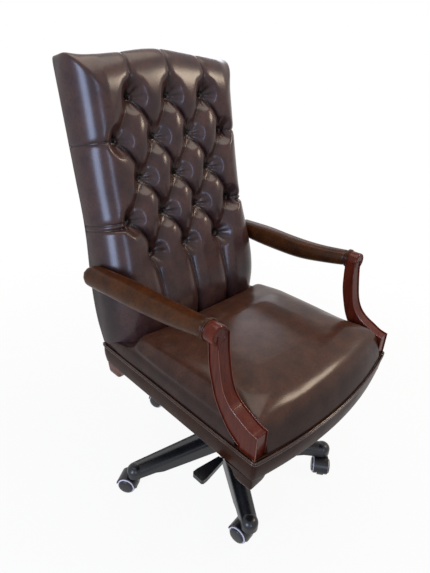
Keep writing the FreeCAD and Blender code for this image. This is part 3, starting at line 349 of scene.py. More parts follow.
class Stock:
    """The chair's materials, each made once."""

    def __init__(self) -> None:
        """Builds every finish."""
        self.back_hide = Leather("Lacquered_cowhide_back").material()
        # the buttons' hide is near-black, darker than the back's: painted shade deep in the pits
        self.shaded_button_hide = Leather("Cowhide_buttons_darkened_as_shade", "#120a09", "#0d0706", "#090505",
                                 roughness=0.55, gloss=0.05, lacquer=0.0).material()
        self.seat_hide = Leather("Lacquered_cowhide_seat", "#452b1f", "#352018", "#281916",
                                 lacquer=0.32, haze=0.19).material()
        self.arm_hide = Leather("Lacquered_cowhide_arms", "#45240d", "#31190b", "#20100b",
                                gloss=0.02, lacquer=0.26).material()
        # a darker hide than the back's, which also paints the shade on the rails' side faces
        self.rail_hide_with_shade = Leather("Lacquered_cowhide_rails_darkened_for_shade", "#2e1407", "#220e05", "#190b06",
                                 gloss=0.02, lacquer=0.14).material()
        # lighter than the rails' hide: a painted highlight along the welt cords
        self.piping = Leather("Cowhide_piping_lightened_as_highlight", "#3b2013", "#2c160c", "#1f110c",
                              lacquer=0.7, haze=0.14).material()
        self.mahogany = Wood("Lacquered_mahogany").material()
        # lighter and glossier than the posts: painted highlights along the posts' edges
        self.bead = Wood("Mahogany_beads_lightened_as_highlight", "#63301f", "#43190f", "#7a452f", 0.2, 0.8).material()
        self.softwood = Wood("Sawn_softwood", "#b58a5c", "#7d5a35", "#cda873", 0.6, 0.0, 6.0,
                             120.0, (1, 0, 0)).material()
        self.nylon_black = Moulding("Glass_filled_nylon_black").material()
        self.tread = Moulding("Nylon_tread_black", "#161618", "#222225", 0.42).material()
        self.trim = Moulding("ABS_trim_grey", "#cbc1c0", "#b8aeae", 0.38, relief=0.0001).material()
        self.bush = Moulding("Acetal_off_white", "#c4c3ba", "#b0afa6", 0.5).material()
        self.painted = Metal("Powder_coated_steel", "#1a1a1c", "#101012", 0.0, 0.42, 3.0, 0.0003).material()
        self.steel = Metal("Zinc_plated_steel").material()
        self.spring_steel = Metal("Oil_tempered_spring_steel", "#4b4b50", "#343438", 1.0, 0.36).material()
        self.chrome = Metal("Hard_chromed_steel", "#c6c6ca", "#b2b2b8", 1.0, 0.16).material()
        self.cambric = Cambric("Black_cambric").material()


# ---------------------------------------------------------------- curves and grids
def smooth_step(low: float, high: float, value: np.ndarray) -> np.ndarray:
    """Rises from 0 at low to 1 at high, level at both ends."""
    share = np.clip((value - low) / (high - low), 0, 1)
    return share * share * (3 - 2 * share)


def bell(offset: np.ndarray, width: float) -> np.ndarray:
    """A bell curve: 1 at no offset, about a third at one width."""
    return np.exp(-(offset / width) ** 2)


def quarter_length(wide: float, deep: float) -> float:
    """About how long a quarter of an ellipse is."""
    return 0.25 * math.pi * math.sqrt(2 * (wide ** 2 + deep ** 2))


def squared(a: np.ndarray, b: np.ndarray, power: float) -> np.ndarray:
    """The factor that turns a square grid's sharp corners into rounded ones.

    Args:
        a: How far out each point lies one way, from 0 to 1.
        b: How far out it lies the other way.
        power: How square the corners stay.

    Returns:
        What both ways shrink by.
    """
    spread = (a ** power + b ** power) ** (1 / power)
    return np.where(spread > 1e-6, np.maximum(a, b) / np.maximum(spread, 1e-6), 1)


def spline_through(knots: Sequence[float], values: Sequence[float], at: np.ndarray) -> np.ndarray:
    """A natural cubic spline.

    Args:
        knots: Rising places of the known values.
        values: The known values.
        at: Where the spline is wanted.

    Returns:
        The spline's values at those places.
    """
    knots, values = np.asarray(knots, float), np.asarray(values, float)
    gaps, count = np.diff(knots), len(knots)
    rows, right = np.eye(count), np.zeros(count)
    for k in range(1, count - 1):
        rows[k, k - 1:k + 2] = gaps[k - 1], 2 * (gaps[k - 1] + gaps[k]), gaps[k]
        right[k] = 6 * ((values[k + 1] - values[k]) / gaps[k] - (values[k] - values[k - 1]) / gaps[k - 1])
    bends = np.linalg.solve(rows, right)
    at = np.clip(at, knots[0], knots[-1])
    k = np.clip(np.searchsorted(knots, at) - 1, 0, count - 2)
    a, b, gap = knots[k + 1] - at, at - knots[k], gaps[k]
    return (bends[k] * a ** 3 + bends[k + 1] * b ** 3) / (6 * gap) + (
        values[k] / gap - bends[k] * gap / 6) * a + (values[k + 1] / gap - bends[k + 1] * gap / 6) * b


def through_points(points: Sequence[Sequence[float]], count: int) -> np.ndarray:
    """Evenly numbered points on a smooth line through some points.

    Args:
        points: The points, in two or three dimensions.
        count: How many points are wanted.

    Returns:
        The line's points, one a row.
    """
    points = np.asarray(points, float)
    run = np.concatenate([[0], np.cumsum(np.linalg.norm(np.diff(points, axis=0), axis=1))])
    at = np.linspace(0, run[-1], count)
    return np.stack([spline_through(run, points[:, k], at) for k in range(points.shape[1])], axis=1)


def grid_faces(rows: int, columns: int, wrap: bool = False, loop: bool = False) -> list[tuple[int, ...]]:
    """The quads of a grid of vertices numbered row by row.

    Args:
        rows: Rows of vertices.
        columns: Vertices in a row.
        wrap: Whether each row closes on itself.
        loop: Whether the last row meets the first.

    Returns:
        The faces.
    """
    faces = []
    for row in range(rows if loop else rows - 1):
        here, there = row * columns, (row + 1) % rows * columns
        for column in range(columns if wrap else columns - 1):
            right = (column + 1) % columns
            faces.append((here + column, here + right, there + right, there + column))
    return faces


def tube_faces(rings: int, around: int) -> list[tuple[int, ...]]:
    """The faces of a tube of rings, closed at both ends."""
    last = around * (rings - 1)
    return grid_faces(rings, around, wrap=True) + [
        tuple(range(around)), tuple(range(last, last + around))]


# ---------------------------------------------------------------- meshes
def add_object(name: str, data: bpy.types.ID) -> bpy.types.Object:
    """Puts a mesh, a lamp or a camera into the scene."""
    item = bpy.data.objects.new(name, data)
    bpy.context.scene.collection.objects.link(item)
    return item


def add_lines(name: str, points: Sequence[Sequence[float]],
              edges: Sequence[tuple[int, int]] = ()) -> bpy.types.Object:
    """Makes an object of bare points and edges, in millimetres."""
    mesh = bpy.data.meshes.new(name)
    mesh.from_pydata((np.asarray(points, float) * MM).tolist(), edges, [])
    return add_object(name, mesh)


def mend(mesh: bpy.types.Mesh, merge: float = 0.0, angle: float | None = None, smooth: bool = True,
         fill: bool = False) -> None:
    """Makes a mesh sound, with faces that point outwards.

    Args:
        mesh: The mesh.
        merge: Vertices nearer than this, in metres, become one.
        angle: Edges bent more than this, in degrees, are shaded sharp.
        smooth: Whether it is shaded smooth.
        fill: Whether an open rim is closed with one face.
    """
    shape = bmesh.new()
    shape.from_mesh(mesh)
    if merge:
        bmesh.ops.remove_doubles(shape, verts=shape.verts, dist=merge)
    if fill:
        bmesh.ops.holes_fill(shape, edges=[edge for edge in shape.edges if edge.is_boundary], sides=0)
    bmesh.ops.recalc_face_normals(shape, faces=shape.faces)
    for face in shape.faces:
        face.smooth = smooth
    if angle is not None:
        for edge in shape.edges:
            edge.smooth = edge.calc_face_angle(0) < math.radians(angle)
    shape.to_mesh(mesh)
    shape.free()


def make_piece(name: str, points: np.ndarray, faces: Sequence[Sequence[int]],
               material: bpy.types.Material | None = None, smooth: bool = True,
               merge: float = 0.0, angle: float | None = None) -> bpy.types.Object:
    """Makes a mesh object whose faces point outwards.

    Args:
        name: The piece's name.
        points: Vertices in millimetres, in rows of any shape.
        faces: Vertex numbers of each face.
        material: Its finish.
        smooth: Whether it is shaded smooth.
        merge: Vertices nearer than this, in millimetres, become one.
        angle: Edges bent more than this, in degrees, are shaded sharp.

    Returns:
        The object.
    """
    mesh = bpy.data.meshes.new(name)
    mesh.from_pydata((np.asarray(points, float).reshape(-1, 3) * MM).tolist(), [], [tuple(f) for f in faces])
    mend(mesh, merge * MM, angle, smooth)
    if material:
        mesh.materials.append(material)
    return add_object(name, mesh)


def set_wax_and_shade(piece: bpy.types.Object, shares: np.ndarray) -> None:
    """Stores each vertex's share of polish and painted shade, which darkens the leather."""
    layer = piece.data.attributes.new("wax_and_shade_share", "FLOAT", "POINT")
    layer.data.foreach_set("value", np.asarray(shares, np.float32))


def get_points(mesh: bpy.types.Mesh) -> np.ndarray:
    """A mesh's vertices in metres, one a row."""
    flat = np.empty(len(mesh.vertices) * 3, np.float32)
    mesh.vertices.foreach_get("co", flat)
    return flat.reshape(-1, 3).astype(float)


def set_points(mesh: bpy.types.Mesh, points: np.ndarray) -> None:
    """Writes a mesh's vertices, in metres."""
    mesh.vertices.foreach_set("co", np.asarray(points, np.float32).ravel())
    mesh.update()


def turned(name: str, profile: Sequence[Sequence[float]], centre: Sequence[float],
           axis: Sequence[float], around: int = 48, materials: Sequence[bpy.types.Material] = (),
           bands: Sequence[int] = (), angle: float = 35) -> bpy.types.Object:
    """Turns a profile about an axis, as on a lathe.

    Args:
        name: The piece's name.
        profile: (along the axis, radius) points in millimetres; a radius of 0 closes an end.
        centre: The axis's origin in millimetres.
        axis: Its direction.
        around: Points in a full turn.
        materials: The finishes.
        bands: The material's number for each step of the profile.
        angle: Edges bent more than this are sharp.

    Returns:
        The object.
    """
    direction = Vector(axis).normalized()
    side = direction.orthogonal().normalized()
    other = direction.cross(side)
    turns = [2 * math.pi * k / around for k in range(around)]
    rings = [Vector(centre) + direction * along + (side * math.cos(turn) + other * math.sin(turn)) * radius
             for along, radius in profile for turn in turns]
    piece = make_piece(name, np.array(rings), grid_faces(len(profile), around, wrap=True))
    for material in materials:
        piece.data.materials.append(material)
    if bands:
        numbers = np.repeat(np.array(bands), around)
        piece.data.polygons.foreach_set("material_index", numbers.astype(np.int32))
    mend(piece.data, 1e-6, angle)
    return piece


# ---------------------------------------------------------------- cloth and modifiers
CLOTH_SETTINGS = {
    "quality": 6, "mass": 0.4, "tension_stiffness": 18, "compression_stiffness": 18, "shear_stiffness": 9,
    "bending_stiffness": 0.8, "vertex_group_mass": "held", "use_pressure": True}
FILLING_FRAMES = 20
IRONING_PASSES = 40


def inflate(piece: bpy.types.Object, held: np.ndarray, pressure: float, cap: float) -> None:
    """Fills a cover as its padding does, by a short cloth simulation without gravity.

    Args:
        piece: The cover, a mesh a little smaller than the filled one.
        held: How firmly each vertex is fixed, from 0 to 1.
        pressure: The filling's push.
        cap: The furthest a vertex may move, in millimetres.
    """
    start = get_points(piece.data)
    group = piece.vertex_groups.new(name="held")
    for number in np.flatnonzero(held > 0.01):
        group.add([int(number)], float(held[number]), "REPLACE")
    cloth = piece.modifiers.new("Cloth", "CLOTH")
    for name, value in CLOTH_SETTINGS.items():
        setattr(cloth.settings, name, value)
    cloth.settings.uniform_pressure_force = pressure
    cloth.settings.effector_weights.gravity = 0
    cloth.collision_settings.use_collision = False
    scene = bpy.context.scene
    for number in range(1, FILLING_FRAMES + 1):
        scene.frame_set(number)
    evaluated = piece.evaluated_get(bpy.context.evaluated_depsgraph_get())
    moved = get_points(evaluated.to_mesh()) - start
    evaluated.to_mesh_clear()
    piece.modifiers.remove(cloth)
    piece.vertex_groups.remove(group)
    scene.frame_set(1)
    length = np.linalg.norm(moved, axis=1, keepdims=True)
    limit = cap * MM
    moved *= np.where(length > limit, limit / np.maximum(length, 1e-9), 1)
    set_points(piece.data, start + ironed(piece.data, moved))


def ironed(mesh: bpy.types.Mesh, moved: np.ndarray) -> np.ndarray:
    """Takes the small ripples out of a cover's movement, as stretching does on firm stuffing.

    Args:
        mesh: The cover's mesh.
        moved: Each vertex's movement.

    Returns:
        The smoothed movement, each vertex brought again and again half way to its neighbours' mean.
    """
    ends = np.empty(len(mesh.edges) * 2, np.int64)
    mesh.edges.foreach_get("vertices", ends)
    ends = ends.reshape(-1, 2)
    count = np.bincount(ends.ravel(), minlength=len(moved))[:, None]
    calm = moved.copy()
    for _ in range(IRONING_PASSES):
        total = np.zeros_like(calm)
        np.add.at(total, ends[:, 0], calm[ends[:, 1]])
        np.add.at(total, ends[:, 1], calm[ends[:, 0]])
        calm = 0.5 * calm + 0.5 * total / np.maximum(count, 1)
    return calm


def apply_modifiers(piece: bpy.types.Object) -> bpy.types.Object:
    """Turns a piece with modifiers into a plain mesh, in the same object.

    Args:
        piece: The piece.

    Returns:
        The same piece, without modifiers.
    """
    graph = bpy.context.evaluated_depsgraph_get()
    plain = bpy.data.meshes.new_from_object(piece.evaluated_get(graph))
    piece.modifiers.clear()
    piece.data = plain
    return piece


# ---------------------------------------------------------------- hand-over
def finished(piece: bpy.types.Object, slot: str, *nodes: str, body: str = "seat") -> bpy.types.Object:
    """Hands a finished piece to its body.

    Args:
        piece: The piece.
        slot: The record's finish that it takes; not used.
        nodes: The frame's nodes that it stands for.
        body: The body that it moves with.

    Returns:
        The piece.
    """
    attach(piece, body)
    if nodes:
        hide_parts(*nodes)
    log.info("%s: %d faces on %s", piece.name, len(piece.data.polygons), body)
    return piece


def dress(material: bpy.types.Material, *nodes: str) -> None:
    """Gives the frame's own nodes a finish."""
    for name in nodes:
        for slot in frame["nodes"][name].material_slots:
            slot.material = material
        log.info("%s: kept, %s", name, material.name)


# ---------------------------------------------------------------- geometry-node makers
class NodeMaker:
    """A geometry-node tree with named inputs, run once on a piece and then made a plain mesh."""

    def __init__(self, name: str, inputs: dict[str, tuple[str, object]]) -> None:
        """Starts a tree.

        Args:
            name: The tree's name.
            inputs: Each input's socket type and value, by name.
        """
        self.tree = bpy.data.node_groups.new(name, "GeometryNodeTree")
        sockets = self.tree.interface
        sockets.new_socket("Geometry", in_out="INPUT", socket_type="NodeSocketGeometry")
        self.values = {}
        for label, (kind, value) in inputs.items():
            socket = sockets.new_socket(label, in_out="INPUT", socket_type="NodeSocket" + kind)
            self.values[socket.identifier] = value
        sockets.new_socket("Geometry", in_out="OUTPUT", socket_type="NodeSocketGeometry")
        self.source = add_node(self.tree, "NodeGroupInput").outputs

    def add(self, kind: str, links: dict, settings: dict | None = None) -> bpy.types.NodeSocket:
        """Adds a geometry node by its short name and gives its first output."""
        return add_node(self.tree, "GeometryNode" + kind, settings, links).outputs[0]

    def close(self, geometry: bpy.types.NodeSocket) -> None:
        """Ends the tree: instances made real, smooth, in its finish."""
        real = self.add("RealizeInstances", {0: geometry})
        soft = self.add("SetShadeSmooth", {0: real})
        coated = self.add("SetMaterial", {0: soft, "Material": self.source["Finish"]})
        add_node(self.tree, "NodeGroupOutput", links={0: coated})

    def run(self, piece: bpy.types.Object) -> bpy.types.Object:
        """Runs the tree on a piece and keeps the result as its plain mesh.

        Args:
            piece: An object whose mesh is the tree's path or points.

        Returns:
            The piece.
        """
        modifier = piece.modifiers.new("Maker", "NODES")
        modifier.node_group = self.tree
        for identifier, value in self.values.items():
            modifier[identifier] = value
        return apply_modifiers(piece)


def cord_along(name: str, loops: Sequence[np.ndarray], radius: float, finish: bpy.types.Material,
               closed: bool = True) -> bpy.types.Object:
    """Sews a round cord along each line.

    Args:
        name: The piece's name.
        loops: Points of each line, in millimetres.
        radius: The cord's radius.
        finish: Its cover.
        closed: Whether each line joins up.

    Returns:
        The cord's piece.
    """
    maker = NodeMaker(name + "_maker", {"Cord radius": ("Float", radius * MM), "Finish": ("Material", finish)})
    line = maker.add("MeshToCurve", {0: maker.source["Geometry"]})
    ring = maker.add("CurvePrimitiveCircle", {"Resolution": 10, "Radius": maker.source["Cord radius"]})
    maker.close(maker.add("CurveToMesh", {0: line, 1: ring, "Fill Caps": True}))
    edges, first = [], 0
    for loop in loops:
        count = len(loop)
        edges += [(first + k, first + (k + 1) % count) for k in range(count if closed else count - 1)]
        first += count
    return maker.run(add_lines(name, np.concatenate(loops), edges))


def set_at_points(name: str, pattern: bpy.types.Object, places: Sequence[Sequence[float]],
                  turns: Sequence[Sequence[float]], finish: bpy.types.Material) -> bpy.types.Object:
    """Sets a copy of a small pattern piece at each place.

    Args:
        name: The new piece's name.
        pattern: The piece to repeat, made about its own origin; it is removed afterwards.
        places: Where the copies go, in millimetres.
        turns: Each copy's turn about X, Y and Z.
        finish: The copies' finish.

    Returns:
        One piece that holds all the copies.
    """
    maker = NodeMaker(name + "_maker", {"Pattern": ("Object", pattern), "Finish": ("Material", finish)})
    shape = add_node(maker.tree, "GeometryNodeObjectInfo", links={0: maker.source["Pattern"]})
    turn = maker.add("InputNamedAttribute", {"Name": "turn"}, {"data_type": "FLOAT_VECTOR"})
    maker.close(maker.add("InstanceOnPoints", {
        "Points": maker.source["Geometry"], "Instance": shape.outputs["Geometry"], "Rotation": turn}))
    piece = add_lines(name, places)
    layer = piece.data.attributes.new("turn", "FLOAT_VECTOR", "POINT")
    layer.data.foreach_set("vector", np.asarray(turns, np.float32).ravel())
    maker.run(piece)
    bpy.data.objects.remove(pattern)
    return piece


def settle(points: np.ndarray) -> np.ndarray:
    """Lets the upholstery round the rails hang a little lower, as its own weight and stuffing press it.

    Args:
        points: Vertices in millimetres.

    Returns:
        The vertices, lowered.
    """
    lower = np.array(points, float)
    lower[..., 2] -= np.interp(lower[..., 2], (355, 392, 448, 466, 519), (2, 2, 10, 10, 0))
    return lower


# ---------------------------------------------------------------- the tufted back
@dataclass(frozen=True)
class Seam:
    """How deep and wide a crease cuts into the padding, and how much polish and painted shade lie in it how
    widely.
    """

    slit: float
    slit_width: float
    wax_and_shade: float
    wax_and_shade_width: float


class Crease(Enum):
    """How the leather lies along a line between tufts."""

    # the last two numbers paint shade, with the polish, along each line
    FOLD = Seam(0.16, 2.6, 0.95, 2.4)  # tucked under itself: a sharp line
    VALLEY = Seam(0.0, 1.0, 0.15, 5.0)  # drawn down without a fold: a soft hollow
    PLEAT = Seam(0.1, 2.4, 0.8, 2.2)  # a shallow tuck that runs out over the edge


@dataclass(frozen=True)
class CreaseLine:
    """One line of the tufting, in flat hide coordinates (across, along)."""

    start: tuple[float, float]
    end: tuple[float, float]
    kind: Crease
    reach: float = 53.0
    strength: float = 1.0
    bow: float = 0.0
    hollow: float = 0.9  # how deep a valley is, as a share of a tuft's depth
    fade: float = 24.0  # how far from its tuft a pleat becomes as weak as its strength says

    def gap(self, across: np.ndarray, along: np.ndarray) -> tuple[np.ndarray, np.ndarray]:
        """How far places on the hide lie from the line.

        Args:
            across: Flat hide coordinate across.
            along: Flat hide coordinate up.

        Returns:
            The distance to the line, and how far along it the nearest point lies.
        """
        start, end = np.array(self.start), np.array(self.end)
        run = np.linalg.norm(end - start)
        axis = (end - start) / run
        dx, ds = across - start[0], along - start[1]
        ahead = dx * axis[0] + ds * axis[1]
        t = np.clip(ahead / run, 0, 1)
        beside = dx * -axis[1] + ds * axis[0] - self.bow * 4 * t * (1 - t)
        return np.hypot(beside, ahead - t * run), t * run

    def draw(self, across: np.ndarray, along: np.ndarray) -> tuple[np.ndarray, np.ndarray]:
        """How full the padding stays beside the line.

        Args:
            across: Flat hide coordinate across.
            along: Flat hide coordinate up.

        Returns:
            The share of its fullness that is left, and the share of polish and painted shade.
        """
        gap, away = self.gap(across, along)
        seam, sunk = self.kind.value, (1 - np.clip(gap / self.reach, 0, 1)) ** 2
        if self.kind is Crease.FOLD:
            full = np.sqrt(1 - sunk)
        elif self.kind is Crease.VALLEY:
            full = 1 - sunk * self.hollow
        else:
            full = 1 - sunk * (self.strength + (1 - self.strength) * np.exp(-away / self.fade))
        full = np.maximum(full - seam.slit * bell(gap, seam.slit_width), 0)
        return full, seam.wax_and_shade * bell(gap, seam.wax_and_shade_width)


@dataclass
class Back:
    """The deep-buttoned back: padding, covered buttons, outside panel and its welt."""

    lean: float = 11.6
    origin_y: float = 83.4
    half: float = 273.0
    flat_half: float = 200.0
    round_depth: float = 103.0
    front: float = -36.0
    roll: float = -6.0
    roll_swell: float = -26.0
    middle_swell: float = -24.0
    swell_top: float = 925.0
    flare: float = 16.0
    rear: float = 65.6
    crown: float = 1237.0
    dip: float = 1224.0
    ear: float = 1233.0
    dip_x: float = 150.0
    top_width: float = 105.0
    top_depth: float = 42.0
    ear_power: float = 14.0
    foot_z: float = 455.7
    side_foot_z: float = 463.4
    hide_foot: float = 462.0
    foot_reach: float = 560.0
    step: float = 2.6
    rear_steps: int = 6
    tuft_top: float = 1123.8
    row_pitch: float = 100.3
    column_pitch: float = 125.3
    relief: float = 23.0
    pit_depth: float = -3.4
    belly: float = 5.0  # how far the middle's pillows stand out
    belly_across: tuple[float, float] = (150.0, 250.0)
    belly_along: tuple[float, float] = (640.0, 760.0)
    funnel_depth: float = 0.9
    funnel_reach: float = 43.0
    funnel_power: float = 1.35
    pit: tuple[float, float] = (6.0, 19.0)
    gathers: float = 8.0
    gather_height: float = 1.15
    gather_radius: float = 22.0
    gather_width: float = 14.0
    gather_turn: float = 0.3  # which side of a tuft its gathers are strongest on
    # painted shade in each pit: its radii, and its centre set up and to the left, where the shadow falls
    pit_shade: tuple[float, float] = (8.0, 21.0)
    pit_shade_offset: tuple[float, float] = (-8.0, 6.0)
    button_radius: float = 7.0
    panel_middle: float = 860.0
    panel_rise: float = 73.2

    @property
    def side_arc(self) -> float:
        """The hide's length round a side."""
        return quarter_length(self.half - self.flat_half, self.round_depth)

    @property
    def side_end(self) -> float:
        """How far across the flat hide reaches."""
        return self.flat_half + self.side_arc

    @property
    def top_start(self) -> float:
        """Where the top begins to roll over."""
        return self.crown - self.top_width

    @property
    def top_arc(self) -> float:
        """The hide's length over the top."""
        return quarter_length(self.top_width, self.top_depth)

    @property
    def top_end(self) -> float:
        """How far up the flat hide reaches."""
        return self.top_start + self.top_arc

    def place(self, across: np.ndarray, along: np.ndarray, depth: np.ndarray) -> np.ndarray:
        """Turns back coordinates into the chair's own.

        Args:
            across: Sideways.
            along: Up the slope, from the floor.
            depth: Rearwards, square to the slope.

        Returns:
            Points in millimetres.
        """
        lean = math.radians(self.lean)
        across, along, depth = np.broadcast_arrays(across, along, depth)
        return np.stack([across, self.origin_y + along * math.sin(lean) + depth * math.cos(lean),
                         along * math.cos(lean) - depth * math.sin(lean)], axis=-1)

    def swell(self, along: np.ndarray) -> list[np.ndarray]:
        """Shares of flare, side roll and middle swelling up the slope."""
        at = np.linspace(325, self.swell_top, 9)
        shares = ((0.45, 0.45, 0.7, 1, 1, 0.7, 0.25, 0, 0), (0, 0, 0.08, 0.77, 1, 0.77, 0.38, 0.08, 0),
                  (0, 0, 0.33, 1, 0.83, 0.25, 0.04, 0, 0))
        return [spline_through(at, share, along) for share in shares]

    def crest(self, across: np.ndarray) -> np.ndarray:
        """The humped top edge."""
        low, high = self.dip_x ** 2, self.half ** 2
        square, fourth = np.linalg.solve([[low, low ** 2], [high, high ** 2]],
                                         [self.dip - self.crown, self.ear - self.crown])
        return self.crown + square * across ** 2 + fourth * across ** 4

    def foot(self, across: np.ndarray, depth: np.ndarray) -> np.ndarray:
        """How far up the slope the level foot lies."""
        lean = math.radians(self.lean)
        height = self.foot_z + (self.side_foot_z - self.foot_z) * smooth_step(243, 250, np.abs(across))
        return (height + depth * math.sin(lean)) / math.cos(lean)

    def lowered(self, v: np.ndarray, across: np.ndarray, along: np.ndarray,
                depth: np.ndarray) -> np.ndarray:
        """Spreads the lower rows of the hide down to the level foot.

        Args:
            v: Flat hide coordinate up.
            across: Sideways.
            along: Up the slope, before the rows are spread.
            depth: Rearwards.

        Returns:
            Up the slope, afterwards.
        """
        base = self.foot(across, depth)
        low = base + (self.foot_reach - base) * self.above_foot(v)
        return np.where(v < self.foot_reach, low, along)

    def above_foot(self, v: np.ndarray) -> np.ndarray:
        """0 at the hide's foot to 1 where its rows lie evenly."""
        return np.clip((v - self.hide_foot) / (self.foot_reach - self.hide_foot), 0, 1)

    def tufts(self) -> list[tuple[float, float]]:
        """(across, along) of each tuft, rows of three and four from the top down."""
        return [((column - (count - 1) / 2) * self.column_pitch, self.tuft_top - row * self.row_pitch)
                for row, count in enumerate((3, 4, 3, 4, 3)) for column in range(count)]

    def creases(self) -> list[CreaseLine]:
        """Every line of the tufting."""
        places, lines = self.tufts(), []
        kinds = {-1: (Crease.VALLEY, 0.0), 1: (Crease.FOLD, 8.0)}
        for x, s in places:
            for side, (kind, bow) in kinds.items():
                below = (x + side * self.column_pitch / 2, s - self.row_pitch)
                if any(abs(below[0] - a) < 1 and abs(below[1] - b) < 1 for a, b in places):
                    lines.append(CreaseLine((x, s), below, kind, bow=bow))
        for x, s in places[:3]:
            lines.append(CreaseLine((x, s), (x, self.top_end), Crease.PLEAT, 20, 0.045))
        for x, s in places[-3:]:
            lines.append(CreaseLine((x, s), (x * 1.02, self.hide_foot), Crease.PLEAT, 42, 0.75))
        outermost = (places[3], places[6], places[10], places[13])
        for x, s in outermost:
            end = (math.copysign(self.side_end, x), s - 2)
            lines.append(CreaseLine((x, s), end, Crease.PLEAT, 20, 0.09))
        for x, s in outermost[2:]:
            lines.append(CreaseLine((x + math.copysign(34, x), s - 13),
                                    (math.copysign(self.side_end, x), s - 17), Crease.PLEAT, 12, 0.09))
        return lines

    def tufting(self, u: np.ndarray, v: np.ndarray, front: np.ndarray) -> tuple[np.ndarray, np.ndarray]:
        """How far the tufting draws the hide in.

        Args:
            u: Flat hide coordinate across.
            v: Flat hide coordinate up.
            front: The untufted depth.

        Returns:
            Distance inwards, and the share of polish and painted shade.
        """
        full, wax_and_shade_share = np.ones_like(u), np.zeros_like(u)
        for line in self.creases():
            left, line_wax_and_shade = line.draw(u, v)
            full, wax_and_shade_share = full * left, np.maximum(wax_and_shade_share, line_wax_and_shade)
        inside = (1 - smooth_step(*self.belly_across, np.abs(u))) * smooth_step(*self.belly_along, v)
        drawn = self.relief * (1 - full) - self.belly * inside * full
        for x, s in self.tufts():
            dx, ds = u - x, v - s
            gap, turn = np.hypot(dx, ds), np.arctan2(ds, dx)
            gathers = np.sin(self.gathers * turn + x * 0.05 + s * 0.03)  # no two tufts gather alike
            gathers *= self.gather_height * bell(gap - self.gather_radius, self.gather_width)
            gathers *= 0.25 + 0.75 * (0.5 + 0.5 * np.cos(turn - self.gather_turn))
            funnel = self.funnel_depth * np.clip(1 - gap / self.funnel_reach, 0, 1) ** self.funnel_power
            down = np.maximum(funnel, 1 - smooth_step(*self.pit, gap))
            drawn = drawn + gathers + (self.pit_depth - front - drawn) * down
            # painted shade round each pit, its centre set up and to the left, where the shadow falls
            to_pit_shade = np.hypot(dx - self.pit_shade_offset[0], ds - self.pit_shade_offset[1])
            wax_and_shade_share = np.maximum(wax_and_shade_share, 1 - smooth_step(*self.pit_shade, to_pit_shade))
        return drawn, np.clip(wax_and_shade_share, 0, 1)

    def rounded(self, u: np.ndarray, v: np.ndarray) -> tuple[np.ndarray, ...]:
        """Lays the flat hide over the padding's front, sides and top, without its tufts.

        Args:
            u: Flat hide coordinate across.
            v: Flat hide coordinate up.

        Returns:
            Across, up the slope and depth of each place, and the depth of the padding's front there.
        """
        side_turn = np.clip((np.abs(u) - self.flat_half) / self.side_arc, 0, 1) * QUARTER
        top_turn = np.clip((v - self.top_start) / self.top_arc, 0, 1) * QUARTER
        a, b = np.sin(side_turn), np.sin(top_turn)
        shrink = squared(a, b, self.ear_power)
        a, b = a * shrink, b * shrink
        outward, roll, middle = self.swell(np.minimum(v, self.swell_top))
        half = self.half + self.flare * outward
        x = np.where(np.abs(u) <= self.flat_half, u,
                     np.sign(u) * (self.flat_half + (half - self.flat_half) * a))
        s = np.where(v <= self.top_start, v, self.top_start + (self.crest(x) - self.top_start) * b)
        roll_depth = self.front + self.roll + self.roll_swell * roll
        middle_depth = self.front + self.middle_swell * middle
        across = np.clip(np.abs(x) / self.flat_half, 0, 1) ** 2.85
        front = middle_depth + (roll_depth - middle_depth) * across
        weight = b ** 2 / (a ** 2 + b ** 2 + 1e-9)
        extent = self.round_depth * (1 - weight) - front * weight
        depth = front + extent * (1 - np.cos(np.maximum(side_turn, top_turn)))
        return x, s, depth, front

    def padding(self, hide: bpy.types.Material) -> tuple[bpy.types.Object, np.ndarray]:
        """Builds the padding as one closed cover.

        Args:
            hide: The leather.

        Returns:
            The piece, and the rim where it meets the outside panel as (across, along) points.
        """
        u, v = np.meshgrid(
            np.linspace(-self.side_end, self.side_end, 2 * int(self.side_end / self.step) + 1),
            np.linspace(self.hide_foot, self.top_end, int((self.top_end - self.hide_foot) / self.step)))
        x, s, depth, front = self.rounded(u, v)
        plain = self.place(x, self.lowered(v, x, s, depth), depth)
        drawn, wax_and_shade_share = self.tufting(u, v, front)
        drawn += 0.7 * np.sin(x / 41 + s / 67) + 0.6 * np.sin(x / 29 - s / 83 + 1.3)  # uneven stuffing
        drawn *= smooth_step(0, 0.35, self.above_foot(v)) * 0.85 + 0.15
        normal = np.cross(np.gradient(plain, axis=1), np.gradient(plain, axis=0))
        normal /= np.maximum(np.linalg.norm(normal, axis=-1, keepdims=True), 1e-9)
        if normal[u.shape[0] // 2, u.shape[1] // 2, 1] < 0:
            normal = -normal
        points = plain + normal * drawn[..., None]
        points[0, :, 2] = plain[0, :, 2]

        number = np.arange(u.size).reshape(u.shape)
        loop = np.concatenate([number[:, 0], number[-1, 1:-1], number[::-1, -1], number[0, -2:0:-1]])
        x, s, v, depth = (field.ravel()[loop] for field in (x, s, v, depth))
        offset = points.reshape(-1, 3)[loop] - self.place(x, self.lowered(v, x, s, depth), depth)
        faces, every, wax_and_shade_rings = grid_faces(*u.shape), [points.reshape(-1, 3)], [wax_and_shade_share.ravel()]
        previous, total = loop, u.size
        for part in np.arange(1, self.rear_steps + 1) / self.rear_steps:
            at = depth + (self.rear - depth) * part
            every.append(self.place(x, self.lowered(v, x, s, at), at) + offset * (1 - part ** 2))
            wax_and_shade_rings.append(wax_and_shade_share.ravel()[loop] * (1 - part))
            current = np.arange(total, total + len(loop))
            faces += zip(previous, np.roll(previous, -1), np.roll(current, -1), current)
            previous, total = current, total + len(loop)
        faces.append(tuple(previous))
        points = np.concatenate(every)
        piece = make_piece("tufted_back", points, faces, hide)
